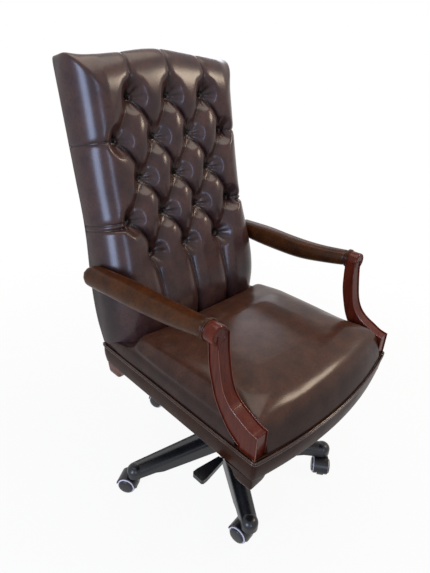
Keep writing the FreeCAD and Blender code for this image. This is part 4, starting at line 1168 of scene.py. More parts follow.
        # painted shade over the outer sides, fading out between 560 and 900 mm up, where the arms shade them
        low = 1 - smooth_step(560, 900, points[:, 2])
        sides = 0.6 * smooth_step(262, 284, np.abs(points[:, 0])) * low
        set_wax_and_shade(piece, np.maximum(np.concatenate(wax_and_shade_rings), sides))
        return piece, np.stack([x, self.lowered(v, x, s, self.rear + 2)], axis=1)

    def ring(self, rim: np.ndarray, share: float, depth: float) -> np.ndarray:
        """The rim drawn in towards the panel's middle.

        Args:
            rim: The padding's rear edge as (across, along) points.
            share: Its distance from the middle, 1 at the rim.
            depth: How far back it lies.

        Returns:
            Points in millimetres.
        """
        centre = np.array([0.0, self.panel_middle])
        drawn = centre + (rim - centre) * share
        return self.place(drawn[:, 0], drawn[:, 1], depth)

    def panel(self, rim: np.ndarray, hide: bpy.types.Material) -> bpy.types.Object:
        """Builds the outside panel, slightly crowned, over the frame.

        Args:
            rim: The padding's rear edge as (across, along) points.
            hide: The leather.

        Returns:
            The piece.
        """
        section = ((0.965, 66.1), (0.99, 66.1), (0.992, 67.5), (0.985, 69.4), (0.97, 70.4), (0.9, 71.2),
                   (0.75, 72.0), (0.55, 72.6), (0.35, 73.0), (0.15, self.panel_rise))
        rings = [self.ring(rim, share, depth) for share, depth in section]
        rings.append(self.place(np.array([0.0]), self.panel_middle, self.panel_rise))
        count = len(rim)
        faces = grid_faces(len(section), count, wrap=True) + [tuple(range(count))]
        total = len(section) * count
        last = total - count
        faces += [(last + k, last + (k + 1) % count, total) for k in range(count)]
        return make_piece("outside_back_panel", np.concatenate(rings), faces, hide)

    def button_pattern(self) -> bpy.types.Object:
        """One covered button, domed, facing up its own Z."""
        r = self.button_radius
        dome = ((-0.2, 0), (-0.2, r * 0.86), (0.9, r), (2.0, r * 0.97), (3.4, r * 0.78), (4.4, r * 0.42),
                (4.7, 0))
        return turned("button_pattern", dome, (0, 0, 0), (0, 0, 1), 16)

    def build(self, stock: Stock) -> None:
        """Builds and dresses every piece of the back.

        Args:
            stock: The finishes.
        """
        piece, rim = self.padding(stock.back_hide)
        finished(piece, "leather", "back_cushion")
        finished(self.panel(rim, stock.back_hide), "leather", "back_panel")
        welt = self.ring(rim[::4], 0.975, 69.0)
        finished(cord_along("back_welt", [welt], 3.0, stock.back_hide), "leather")
        places = [self.place(x, s, 0.0) for x, s in self.tufts()]
        turn = (math.radians(90 + self.lean), 0.0, 0.0)
        finished(set_at_points("covered_buttons", self.button_pattern(), places, [turn] * len(places),
                               stock.shaded_button_hide), "leather", "tuft_buttons")
        dress(stock.softwood, "back_frame")
        dress(stock.steel, "frame_bolts")


# ---------------------------------------------------------------- the seat
@dataclass
class SeatFrame:
    """The leather-covered rails, their double welt, the corner feet and the lining underneath."""

    half_front: float = 296.0
    half_rear: float = 282.0
    front_y: float = -331.0
    rear_y: float = 250.0
    middle_y: float = -40.0
    bow: float = 34.0
    bow_underside: float = 36.0
    underside: float = 392.0
    top: float = 455.0
    draft: float = 4.0
    cover: float = 2.5
    welt_levels: tuple[float, float] = (457.4, 463.2)
    window_half: tuple[float, float] = (114.0, 207.0)
    corner_cut: float = 0.41  # how far inside the sharp corner a round one lies, as a share of its radius
    flank_end: float = 0.62  # how far down a foot its flank curves in, as a share of its drop
    flank_power: float = 1.25
    ogee: float = 0.42
    ogee_start: float = 0.4

    @property
    def draw(self) -> float:
        """How much narrower the seat gets for each millimetre to the rear."""
        return (self.half_front - self.half_rear) / (self.rear_y - self.front_y)

    def outline(self, inset: float, bow: float, z: float, side_steps: int = 60, front_steps: int = 60,
                corner: float = 3.0) -> np.ndarray:
        """The seat's plan at one level: straight sides that draw in to the rear, a bowed front.

        Args:
            inset: How far it lies inside the rails' outer face.
            bow: How far the front stands out at its middle.
            z: The level.
            side_steps: Points on each side and on the rear.
            front_steps: Points on the front.
            corner: Radius that softens the corners.

        Returns:
            Points in millimetres, anticlockwise from the rear left corner.
        """
        rear, front = self.rear_y - inset, self.front_y + inset
        wide = self.half_front - inset
        rear_half = wide - self.draw * (rear - front)
        down = np.linspace(0, 1, side_steps, endpoint=False)
        across = np.linspace(-1, 1, front_steps, endpoint=False)
        plan = np.concatenate([
            np.stack([-(rear_half + (wide - rear_half) * down), rear + (front - rear) * down], axis=1),
            np.stack([wide * across, front - bow * (1 - across ** 2)], axis=1),
            np.stack([wide - (wide - rear_half) * down, front + (rear - front) * down], axis=1),
            np.stack([rear_half * (1 - 2 * down), np.full(side_steps, rear)], axis=1)])
        for at in (0, side_steps, side_steps + front_steps, 2 * side_steps + front_steps):
            ways = [plan[at - 1] - plan[at], plan[at + 1] - plan[at]]
            toward = sum(way / np.linalg.norm(way) for way in ways)
            plan[at] += toward / np.linalg.norm(toward) * corner * self.corner_cut
        return np.column_stack([plan, np.full(len(plan), z)])

    def rails(self, hide: bpy.types.Material) -> bpy.types.Object:
        """Builds the leather over the rails, faintly crowned, turned under at its foot.

        Args:
            hide: The leather.

        Returns:
            The piece.
        """
        top, foot, draft, cover = self.top, self.underside, self.draft, self.cover
        lip = [(75, top + 0.15), (75, top + 0.5), (3.2, top + 0.5), (2.3, top + 0.2)]  # hugs the wood
        face = [(2.2, top - 0.8), (0.9, top - 0.8)]
        face += [(draft * down - 1.4 * math.sin(math.pi * down), top - 1.2 - (top - foot - 2.6) * down)
                 for down in np.arange(15) / 14]
        under = [(draft + 1.2, foot + 0.2), (draft + 4, foot - 0.4), (draft + 22, foot - 0.5),
                 (draft + 22, foot + 0.3), (draft + cover, foot + 1.2), (cover, top - 1.0),
                 (cover + 0.8, top + 0.1)]
        section = lip + face + under
        rings = []
        for inset, z in section:
            level = np.clip((top - z) / (top - foot), 0, 1)
            rings.append(self.outline(inset, self.bow + (self.bow_underside - self.bow) * level, z, corner=2.0))
        points = np.array(rings)
        sag = 0.5 * np.sin(points[..., 0] / 37 + points[..., 1] / 29) * (
            np.sin(math.pi * np.clip((top - points[..., 2]) / (top - foot), 0, 1)))
        outward = points[..., :2] - (0, self.middle_y)
        outward /= np.linalg.norm(outward, axis=-1, keepdims=True)
        loose = slice(len(lip), None)
        points[loose, :, :2] += (outward * sag[..., None])[loose]
        points[loose] = settle(points[loose])
        faces = grid_faces(*points.shape[:2], wrap=True, loop=True)
        return make_piece("rail_leather", points, faces, hide, merge=0.01)

    def corner_seams(self) -> list[np.ndarray]:
        """Upright seams where the front leather meets the sides."""
        down = np.linspace(0, 1, 12)
        return [settle(np.stack([side * (self.half_front + 0.4 - self.draft * down),
                                 self.front_y - 0.6 + self.draft * down,
                                 self.top - 1 - (self.top - self.underside - 2) * down], axis=1))
                for side, _ in SIDES]

    def foot_plan(self, size: float, round_off: float = 5.0, steps: int = 6) -> list[tuple[float, float]]:
        """A square with round corners, from its outer corner inwards.

        Args:
            size: Its width.
            round_off: Its corners' radius.
            steps: Points on each corner.

        Returns:
            Distances inwards from the outer faces.
        """
        plan = []
        for number, (cx, cy) in enumerate(((0, 0), (1, 0), (1, 1), (0, 1))):
            for k in range(steps):
                turn = QUARTER * (number + k / (steps - 1))
                plan.append((cx * size + round_off * (1 - 2 * cx) - round_off * math.cos(turn),
                             cy * size + round_off * (1 - 2 * cy) - round_off * math.sin(turn)))
        return plan

    def foot_block(self, name: str, side: int, end: int, width: float, tip: float, drop: float,
                   finish: bpy.types.Material) -> bpy.types.Object:
        """Builds one bracket foot: square to the corner, its inner flanks curved in and out again.

        Args:
            name: The piece's name.
            side: -1 for the left, 1 for the right.
            end: -1 for the front, 1 for the rear.
            width: Its width at the rails.
            tip: Its width at the foot.
            drop: How far it hangs.
            finish: Its finish.

        Returns:
            The piece.
        """
        half = self.half_front if end < 0 else self.half_rear
        corner_y = abs(self.front_y if end < 0 else self.rear_y)
        # how far down, and how far the edge is tucked in there
        levels = ((0.0, 0.3), (0.1, 0), (0.2, 0), (0.32, 0), (0.45, 0), (0.58, 0), (0.7, 0), (0.8, 0.2),
                  (0.88, 0.6), (0.94, 1.4), (0.98, 2.8), (1.0, 5.0))
        rings = []
        for t, tuck in levels:
            curve = 1 - math.sin(QUARTER * min(t / self.flank_end, 1))
            turned_in = min(max((t - self.ogee_start) / self.flank_end, 0), 1)
            wide = tip + (width - tip) * curve ** self.flank_power
            wide -= self.ogee * tip * (1 - math.sqrt(1 - turned_in ** 2))
            inset = self.draft + 0.3 + 3.0 * t + tuck
            z = self.underside + 0.2 - drop * t
            rings.append([(side * (half - inset - a), end * (corner_y - inset - b), z)
                          for a, b in self.foot_plan(wide - inset - tuck + self.draft)])
        points = settle(np.array(rings))
        return make_piece(name, points, tube_faces(*points.shape[:2]), finish, angle=50)

    def lining(self, cloth: bpy.types.Material) -> bpy.types.Object:
        """Builds the dust cover, open round the mechanism, stretched with a slight sag.

        Args:
            cloth: The cambric.

        Returns:
            The piece.
        """
        z = self.underside - 0.75
        outer = self.outline(self.cover + self.draft + 3, self.bow_underside, z, 40, 40)[:, :2]
        spokes = outer - (0, self.middle_y)
        stretch = np.min(np.array(self.window_half) / np.maximum(np.abs(spokes), 1e-6), axis=1)
        window = (0, self.middle_y) + spokes * np.minimum(stretch, 1)[:, None]
        rings = [np.column_stack([outer + (window - outer) * share,
                                  np.full(len(outer), z - 0.25 * math.sin(math.pi * share))])
                 for share in np.linspace(0, 1, 9)]
        faces = grid_faces(len(rings), len(outer), wrap=True)
        piece = make_piece("dust_cloth", np.concatenate(rings), faces, cloth)
        wall = piece.modifiers.new("Cloth_thickness", "SOLIDIFY")
        wall.thickness, wall.offset = 0.8 * MM, 0
        return apply_modifiers(piece)

    def staple_pattern(self, steel: bpy.types.Material) -> bpy.types.Object:
        """One staple's crown, lying flat."""
        wire = ((-5, 0.5), (-5, -0.35), (-4.4, -0.65), (4.4, -0.65), (5, -0.35), (5, 0.5))
        half, rise = 0.45, 0.55
        points = [corner for x, z in wire for corner in (
            (x, -half, z), (x, half, z), (x * 0.8, half, z + rise), (x * 0.8, -half, z + rise))]
        return make_piece("staple_pattern", np.array(points), tube_faces(len(wire), 4), steel, smooth=False)

    def build(self, stock: Stock) -> None:
        """Builds and dresses every piece of the seat frame.

        Args:
            stock: The finishes.
        """
        finished(self.rails(stock.rail_hide_with_shade), "leather", "rail_cover")
        loops = [settle(self.outline(-1.9, self.bow, z, 60, 90, corner=4.0)) for z in self.welt_levels]
        finished(cord_along("double_welt", loops, 2.3, stock.piping), "leather", "seat_welt")
        rear = np.array([(x, self.rear_y - 4.0, self.welt_levels[0] + 0.2) for x in np.linspace(-277, 277, 60)])
        finished(cord_along("rear_edge_cord", [rear], 4.4, stock.rail_hide_with_shade, False), "leather")
        seams = self.corner_seams()
        finished(cord_along("rail_corner_seams", seams, 0.7, stock.rail_hide_with_shade, False), "leather")
        for side, label in SIDES:
            front = self.foot_block(f"front_foot_{label}", side, -1, 84, 58, 37, stock.rail_hide_with_shade)
            rear = self.foot_block(f"rear_foot_{label}", side, 1, 86, 62, 38, stock.mahogany)
            finished(front, "leather", *(["front_feet"] if side < 0 else []))
            finished(rear, "mahogany", *(["rear_feet"] if side < 0 else []))
        cloth = finished(self.lining(stock.cambric), "black_cloth", "dust_cover")
        ring = self.outline(20, self.bow_underside, self.underside - 1.25, 14, 14)
        steps = np.roll(ring, -1, axis=0) - np.roll(ring, 1, axis=0)
        turns = [(0.0, 0.0, math.atan2(step[1], step[0])) for step in steps]
        staples = finished(set_at_points("lining_staples", self.staple_pattern(stock.steel), ring, turns,
                                         stock.steel), "steel")
        dress(stock.softwood, "seat_rails", "seat_board")
        dress(stock.steel, "plate_bolts")


@dataclass(frozen=True)
class Tuck:
    """A tuck in the cushion's front right corner; the left one is its mirror image."""

    start: tuple[float, float, float]
    end: tuple[float, float, float]
    depth: float
    reach: float


@dataclass
class SeatCushion:
    """The seat's padding under one stretched hide, rolled over its edges."""

    frame: SeatFrame
    rear_y: float = 133.0
    middle_y: float = -95.0
    post_inner: float = 257.4
    step: float = 5.5
    edge_arc: float = 128.0
    top_half: float = 205.0
    squareness: float = 26.0
    crown: float = 7.0
    highest: float = 552.0
    bow: float = 20.0
    bow_spread: float = 14.0
    rear_dip: float = 15.0
    slack: float = 2.5
    # painted shade on the cushion's flanks, below its crest
    flank_shade: float = 0.55
    tuck_way: tuple[float, float, float] = (0.35, -0.7, 0.62)
    # the roll along the sides: how far out, at what height and how wide
    side_roll: tuple = ((3.4, 506.0, 5.5), (-3.0, 493.0, 6.0), (-1.6, 521.0, 7.0))
    # the rolled edge in section, insets and heights from the flat top down to the rails
    front_edge: tuple = ((78, 541.5), (48, 540), (30, 535.5), (18, 527), (11, 514), (6.5, 496),
                         (3.4, 475), (1.5, 458), (1.8, 455.8))
    side_edge: tuple = ((78, 541.5), (50, 538.5), (32, 532.5), (19, 521), (10.0, 505), (5, 487),
                        (2.2, 470), (1.5, 458), (1.8, 455.8))
    tucks: tuple = (Tuck((248, -352, 450), (246, -333, 520), 3.0, 4.0),
                    Tuck((246, -333, 520), (236, -304, 537), 1.8, 5.5),
                    Tuck((246, -333, 520), (253, -309, 531), 1.4, 5.0))

    def profile(self, share: np.ndarray, edge: Sequence[Sequence[float]]) -> list[np.ndarray]:
        """A rolled edge in section.

        Args:
            share: 0 at the flat top's edge to 1 at the rails.
            edge: The section's points.

        Returns:
            Insets and heights.
        """
        line = through_points(edge, 80)
        return [np.interp(share, np.linspace(0, 1, 80), line[:, k]) for k in (0, 1)]

    def shape(self) -> tuple[np.ndarray, np.ndarray]:
        """The cushion before it is filled: a square grid over its top and down its edges.

        Returns:
            Its points, and each one's share from 0 at the flat top's edge to 1 at the rails.
        """
        frame, reach = self.frame, self.edge_arc + self.top_half
        ends = np.linspace(-1, 1, 2 * int(reach / self.step) + 1)
        p, q = np.meshgrid(ends, ends)
        most = np.maximum(np.abs(p), np.abs(q))
        edge = self.top_half / reach
        share = np.clip((most - edge) / (1 - edge), 0, 1)
        inner = np.clip(most / edge, 0, 1)
        shrink = squared(np.abs(p), np.abs(q), self.squareness)
        unit = np.where(most > 1e-6, 1 / np.maximum(most, 1e-6), 0)
        across, back = p * unit * shrink, q * unit * shrink
        side_inset, side_z = self.profile(share, self.side_edge)
        front_inset, front_z = self.profile(share, self.front_edge)
        to_front = smooth_step(-0.2, 0.95, -back) * smooth_step(0.4, 0.98, np.abs(back))
        z = side_z + (front_z - side_z) * to_front
        front_line = frame.front_y + front_inset
        rear_line = self.rear_y - (side_inset * 0.5 - 3)
        y = (front_line + rear_line) / 2 + back * (rear_line - front_line) / 2
        wide = frame.half_front - side_inset - frame.draw * (y - frame.front_y)
        x = across * wide
        bow = self.bow + self.bow_spread * smooth_step(0.45, 0.95, share)
        y = y - bow * (1 - np.clip(x / wide, -1, 1) ** 2) * smooth_step(-0.6, 1, -back)
        x, y = x * inner, self.middle_y + (y - self.middle_y) * inner
        z = z + self.crown * (1 - inner ** 2)
        side_dip = 1 - 0.5 * smooth_step(160, 250, np.abs(x))
        z = z - self.rear_dip * smooth_step(10, 128, y) * side_dip * (z > 500)
        points = np.stack([x, y, z - self.slack * (1 - share)], axis=-1)
        return self.tuck_rear(settle(points), share), share

    def build(self, stock: Stock) -> None:
        """Builds, fills and dresses the cushion.

        Args:
            stock: The finishes.
        """
        points, share = self.shape()
        piece = make_piece("seat_cushion_cover", points, grid_faces(*share.shape), stock.seat_hide)
        held = np.clip(smooth_step(0.72, 0.98, share) + smooth_step(95, 130, points[..., 1]), 0, 1)
        inflate(piece, held.ravel(), 2.6, 9.0)
        filled = get_points(piece.data) / MM
        filled[:, 2] = np.minimum(filled[:, 2], self.highest)
        drawn, wax_and_shade_share = self.pleats(filled)
        set_points(piece.data, self.round_posts(filled - drawn) * MM)
        set_wax_and_shade(piece, wax_and_shade_share)
        finer = piece.modifiers.new("Smooth_hide", "SUBSURF")
        finer.levels = finer.render_levels = 1
        mend(apply_modifiers(piece).data, fill=True)
        finished(piece, "leather", "seat_cushion")

    def tuck_rear(self, points: np.ndarray, share: np.ndarray) -> np.ndarray:
        """Draws the sides' foot back under the back's rolls to the rear corners, and rolls the sides over.

        Args:
            points: The cushion's vertices in millimetres.
            share: 0 at the flat top's edge to 1 at the rails.

        Returns:
            The vertices, moved.
        """
        moved = points.copy()
        x, y, z = np.abs(points[..., 0]), points[..., 1], points[..., 2]
        side = np.sign(points[..., 0])
        low = smooth_step(205, 262, x) * (1 - smooth_step(470, 500, z)) * smooth_step(0.3, 0.5, share)
        moved[..., 1] += low * (self.frame.rear_y - 4 - self.rear_y) * smooth_step(20, self.rear_y, y)
        over = low * smooth_step(self.rear_y, self.frame.rear_y, moved[..., 1])
        moved[..., 0] = side * np.minimum(x, x + (self.frame.half_rear - 2 - x) * over)
        flank = smooth_step(240, 268, x) * smooth_step(-262, -225, y) * (1 - smooth_step(96, 122, y))
        roll = sum(out * bell(z - level, width) for out, level, width in self.side_roll)
        moved[..., 0] += side * flank * roll
        return moved

    def pleats(self, points: np.ndarray) -> tuple[np.ndarray, np.ndarray]:
        """The tucks at the front corners, beside the posts, and the painted shade on the flanks.

        Args:
            points: The cushion's vertices in millimetres.

        Returns:
            How far each vertex is drawn in, as vectors, and its share of polish and painted shade.
        """
        drawn = np.zeros_like(points)
        # painted shade over the flanks, fading out between 494 and 524 mm up
        wax_and_shade_share = self.flank_shade * (1 - smooth_step(494, 524, points[:, 2]))
        for side, _ in SIDES:
            inward = np.array(self.tuck_way) * (side, 1, 1)
            for tuck in self.tucks:
                a, b = (np.array(end, float) * (side, 1, 1) for end in (tuck.start, tuck.end))
                t = np.clip(((points - a) @ (b - a)) / ((b - a) @ (b - a)), 0, 1)
                gap = np.linalg.norm(points - (a + t[:, None] * (b - a)), axis=1)
                drawn += inward * (tuck.depth * bell(gap, tuck.reach))[:, None]
                # polish and painted shade along each tuck
                wax_and_shade_share = np.maximum(wax_and_shade_share, 0.8 * bell(gap, 2.6))
        return drawn, wax_and_shade_share

    def round_posts(self, points: np.ndarray) -> np.ndarray:
        """Keeps the cushion inside the two front posts.

        Args:
            points: Vertices in millimetres.

        Returns:
            The vertices, moved clear.
        """
        post_rear = np.interp(points[:, 2], (455, 478, 495, 519, 545, 560),
                              (-280.7, -280.7, -268, -247, -228, -221))
        ahead = 1 - smooth_step(2, 12, points[:, 1] - post_rear)
        beyond = np.maximum(np.abs(points[:, 0]) - (self.post_inner - 0.6), 0)
        moved = points.copy()
        moved[:, 0] -= np.sign(points[:, 0]) * beyond * ahead
        return moved


# ---------------------------------------------------------------- arms and posts
@dataclass
class Arm:
    """One arm: swept mahogany post with its turned scroll, double collar and padded rest."""

    side: int
    label: str
    post_front: float = -330.2
    block_rear: float = -280.7
    block_top: float = 519.0
    foot: float = 446.0
    rear_foot: float = 455.3
    scroll_front: float = -207.0
    scroll_rear: float = -176.0
    scroll_x: float = 286.0
    scroll_z: float = 705.0
    scroll_radius: float = 23.5
    inner: float = 257.4
    width: float = 36.9
    edge_round: float = 2.6
    collar_radius: float = 24.0
    collar_levels: tuple[float, float] = (-173.6, -169.6)
    # the rest's middle line and half thickness: across, along, height, half
    stations: tuple = ((286, -168, 705, 22.5), (283, -25, 686, 29), (291, 118, 683, 32), (303, 262, 679, 28))
    rest_front: float = -167.6
    end_start: float = 236.0
    end_length: float = 26.0
    squareness: float = 2.25
    leather_share: float = 0.985  # the leather's radius to the rest's own
    seam_turn: float = -52.0

    def outline(self) -> tuple[np.ndarray, np.ndarray]:
        """The post's front and rear edges seen from the side, both from the foot up.

        Returns:
            Two lines of (y, z) points, as many on each.
        """
        rise, run = self.scroll_z - self.block_top, self.scroll_front - self.post_front
        sweep = [(self.post_front + run * a, self.block_top + rise * b) for a, b in (
            (0, 0), (0.17, 0.02), (0.32, 0.065), (0.54, 0.135), (0.726, 0.237), (0.847, 0.387),
            (0.927, 0.613), (0.985, 0.86), (1, 1))]
        lift, draw = self.scroll_z - self.rear_foot, self.scroll_rear - self.block_rear
        rear = [(self.scroll_rear - draw * a, self.scroll_z - lift * b) for a, b in (
            (1, 0.956), (0.764, 0.892), (0.516, 0.78), (0.306, 0.64), (0.172, 0.488), (0.067, 0.316),
            (0.03, 0.16), (0, 0))]
        block = np.linspace((self.post_front, self.foot), (self.post_front, self.block_top), 14)
        front = np.concatenate([block, through_points(sweep, 52)[1:]])
        behind = np.concatenate([[(self.block_rear, self.foot)], through_points(rear, len(front) - 1)])
        return front, behind

    def inward(self, line: np.ndarray, turn: float) -> np.ndarray:
        """Unit vectors from an edge of the post into its wood.

        Args:
            line: The edge's (y, z) points.
            turn: 1 for the front edge, -1 for the rear edge.

        Returns:
            One (y, z) vector for each point.
        """
        number = np.arange(len(line))
        step = line[np.minimum(number + 1, len(line) - 1)] - line[np.maximum(number - 1, 0)]
        length = np.maximum(np.linalg.norm(step, axis=1, keepdims=True), 1e-9)
        return turn * np.stack([step[:, 1], -step[:, 0]], axis=1) / length

    def post(self, timber: bpy.types.Material) -> bpy.types.Object:
        """Builds the post as a sawn and rounded board.

        Args:
            timber: The wood.

        Returns:
            The piece.
        """
        fore, aft = self.outline()
        outer, r = self.inner + self.width, self.edge_round
        turns = np.linspace(0, QUARTER, 5)
        columns = []
        for line, push, across, toward, order in (
                (fore, 1, self.inner, 1, 1), (fore, 1, outer, -1, -1),
                (aft, -1, outer, -1, 1), (aft, -1, self.inner, 1, -1)):
            for turn in turns[::order]:
                at = line + self.inward(line, push) * r * (1 - math.cos(turn))
                x = self.side * (across + toward * r * (1 - math.sin(turn)))
                columns.append(np.column_stack([np.full(len(at), x), at]))
        points = np.stack(columns, axis=1)
        faces = tube_faces(*points.shape[:2])
        return make_piece(f"arm_post_wood_{self.label}", points, faces, timber, angle=40)

    def scroll(self, timber: bpy.types.Material) -> bpy.types.Object:
        """Turns the scroll end, with a sunk face and a ring bead.

        Args:
            timber: The wood.

        Returns:
            The piece.
        """
        r = self.scroll_radius
        profile = ((0.2, 0), (0.2, r - 2), (1.2, r - 0.5), (3.0, r), (26.5, r), (28.2, r - 0.3),
                   (29.4, r - 1.3), (30.0, r - 2.8), (29.6, r - 3.8), (28.9, r - 4.3), (29.2, r - 5.0),
                   (29.9, r - 5.8), (29.9, r - 6.6), (29.2, r - 7.4), (28.6, r - 7.9), (28.5, r - 9),
                   (28.8, 8), (29.1, 0))
        centre = (self.side * self.scroll_x, self.scroll_rear, self.scroll_z)
        return turned(f"scroll_end_{self.label}", profile, centre, (0, -1, 0), 64, (timber,), angle=28)

    def neck(self, hide: bpy.types.Material) -> bpy.types.Object:
        """Turns the short leather neck behind the scroll."""
        profile = ((-2.2, 0), (-2.2, 22.4), (-0.6, 23.2), (3, 23.4), (7, 23.2), (9.0, 22.2), (9.0, 0))
        centre = (self.side * self.scroll_x, self.scroll_rear + 1.4, self.scroll_z)
        return turned(f"arm_neck_{self.label}", profile, centre, (0, 1, 0), 48, (hide,))

    def beads(self) -> list[np.ndarray]:
        """The fine bead lines that run up both front edges and down the rear edge."""
        lines = []
        for line, push in zip(self.outline(), (1.0, -1.0)):
            for across in (self.inner + 1.0, self.inner + self.width - 1.0):
                kept = line[1:-6]
                lines.append(np.column_stack([np.full(len(kept), self.side * across),
                                              kept[:, 0] + push, kept[:, 1]]))
        return lines

    def collars(self) -> list[np.ndarray]:
        """The two rings of piping between the scroll and the rest."""
        circle = np.linspace(0, 2 * math.pi, 56, endpoint=False)
        return [np.stack([self.side * self.scroll_x + self.collar_radius * np.cos(circle), np.full(56, y),
                          self.scroll_z + self.collar_radius * np.sin(circle)], axis=1)
                for y in self.collar_levels]

    def rest_line(self, y: np.ndarray) -> tuple[np.ndarray, ...]:
        """The rest's middle and thickness along its length.

        Args:
            y: Places along it.

        Returns:
            Across, height, half thickness, and the share of it that the rounded rear end leaves.
        """
        known = np.array(self.stations)
        at = np.clip(y, known[0, 1], known[-1, 1])
        x, z, half = (spline_through(known[:, 1], known[:, k], at) for k in (0, 2, 3))
        end = np.sqrt(np.clip(1 - (np.maximum(y - self.end_start, 0) / self.end_length) ** 2, 0, 1))
        return x, z, half, end

    def pad(self, hide: bpy.types.Material) -> bpy.types.Object:
        """Builds the padded rest, flattened a little on top and gathered at its rear end.

        Args:
            hide: The leather.

        Returns:
            The piece.
        """
        y = np.concatenate([np.linspace(self.rest_front, self.end_start, 84), self.end_start
                            + self.end_length * np.sin(np.linspace(0.06, QUARTER, 16))])[:, None]
        x, z, half, end = self.rest_line(y)
        size = half * (0.93 + 0.07 * smooth_step(-168, -158, y)) * (0.08 + 0.92 * end)
        turn = (2 * math.pi * np.arange(56) / 56)[None, :]
        c, s = np.cos(turn), np.sin(turn)
        reach = (np.abs(c) ** self.squareness + np.abs(s) ** self.squareness) ** (-1 / self.squareness)
        puff = 0.25 * np.sin(y / 23 + 2 * turn) * end
        gather = 0.9 * np.cos(11 * turn) * np.maximum(0, (y - 225) / 37) ** 2
        radius = size * reach * self.leather_share + puff + gather
        flat = np.where(s > 0, 0.95, 1.0)
        points = np.stack([self.side * (x + radius * c), np.broadcast_to(y, radius.shape),
                           z + radius * s * flat], axis=-1)
        piece = make_piece(f"arm_rest_{self.label}", points, tube_faces(*radius.shape), hide)
        # polish and painted shade: a dark line along the inner underside, and a dark ring where the rest meets
        # the collar
        wax_and_shade_share = 0.7 * bell(turn - 3 * QUARTER + 0.62, 0.035) + 0.5 * bell(y + 167, 2.0)
        set_wax_and_shade(piece, wax_and_shade_share.ravel())
        return piece

    def seam(self) -> np.ndarray:
        """The seam that runs along the underside of the rest, towards the outside."""
        y = np.linspace(-160, 250, 60)
        x, z, half, end = self.rest_line(y)
        size, turn = half * end * self.leather_share, math.radians(self.seam_turn)
        return np.stack([self.side * (x + size * math.cos(turn)), y, z + size * math.sin(turn)], axis=1)

    def build(self, stock: Stock) -> None:
        """Builds and dresses every piece of the arm.

        Args:
            stock: The finishes.
        """
        label, hide = self.label, stock.arm_hide
        finished(self.post(stock.mahogany), "mahogany", f"arm_post_{label}")
        finished(self.scroll(stock.mahogany), "mahogany")
        # the beads' lighter wood paints highlights along the post's edges
        finished(cord_along(f"post_beads_{label}", self.beads(), 0.75, stock.bead, False), "mahogany")
        finished(cord_along(f"arm_collar_{label}", self.collars(), 2.2, hide), "leather",
                 *(["arm_collars"] if self.side < 0 else []))
        finished(self.neck(hide), "leather")
        finished(self.pad(hide), "leather", f"arm_pad_{label}")
        finished(cord_along(f"arm_seam_{label}", [self.seam()], 1.0, hide, False), "leather")
        dress(stock.softwood, f"arm_core_{label}")


# ---------------------------------------------------------------- base and casters
@dataclass
class Caster:
    """One twin-wheel caster of the star base."""

    number: int
    radius: float = 27.5
    inner_face: float = 10.6
    outer_face: float = 22.9

    def wheel(self, label: str, stock: Stock) -> None:
        """Turns one wheel: tread, pale trim ring and domed hub cap.

        Args:
            label: left or right.
            stock: The finishes.
        """
        name = f"caster_{self.number}_{label}"
        node = f"caster_{self.number}_wheel_{label}"
        joint = next(j for j in frame["joints"] if j["child"] == name)
        axis = Vector(joint["axis"]).normalized()
        origin = Vector(joint["pos_m"]) / MM
        low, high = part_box(node)
        if ((Vector(low) + Vector(high)) / 2 / MM - origin).dot(axis) < 0:
            axis = -axis
        inner, outer, r = self.inner_face, self.outer_face, self.radius
        tread = ((inner, 4.2), (inner, 9), (inner + 1.4, 10), (inner + 1.4, 21), (inner, 22.2),
                 (inner, r - 2.6), (inner + 0.8, r - 0.9), (inner + 2.6, r), (outer - 2.6, r))
        trim = ((outer - 0.8, r - 0.5), (outer + 0.2, r - 0.8), (outer + 1.0, r - 1.5),
                (outer + 1.3, r - 2.3), (outer + 1.3, r - 4.1))
        hub = ((outer + 0.9, r - 4.5), (outer + 1.3, r - 4.8), (outer + 3.6, r - 5.0), (outer + 4.8, r - 5.8),
               (outer + 5.6, r - 8.5), (outer + 6.2, 12), (outer + 6.4, 5), (outer + 6.4, 0))
        bands = (0,) * len(tread) + (1,) * len(trim) + (2,) * (len(hub) - 1)
        piece = turned(f"wheel_{self.number}_{label}", tread + trim + hub, origin, axis, 56,
                       (stock.tread, stock.trim, stock.nylon_black), bands, 40)
        finished(piece, "black_plastic", node, body=name)

    def build(self, stock: Stock) -> None:
        """Builds and dresses the caster.

        Args:
            stock: The finishes.
        """
        for _, label in SIDES:
            self.wheel(label, stock)
        dress(stock.nylon_black, f"caster_{self.number}_hood")
        dress(stock.steel, f"caster_{self.number}_axle")


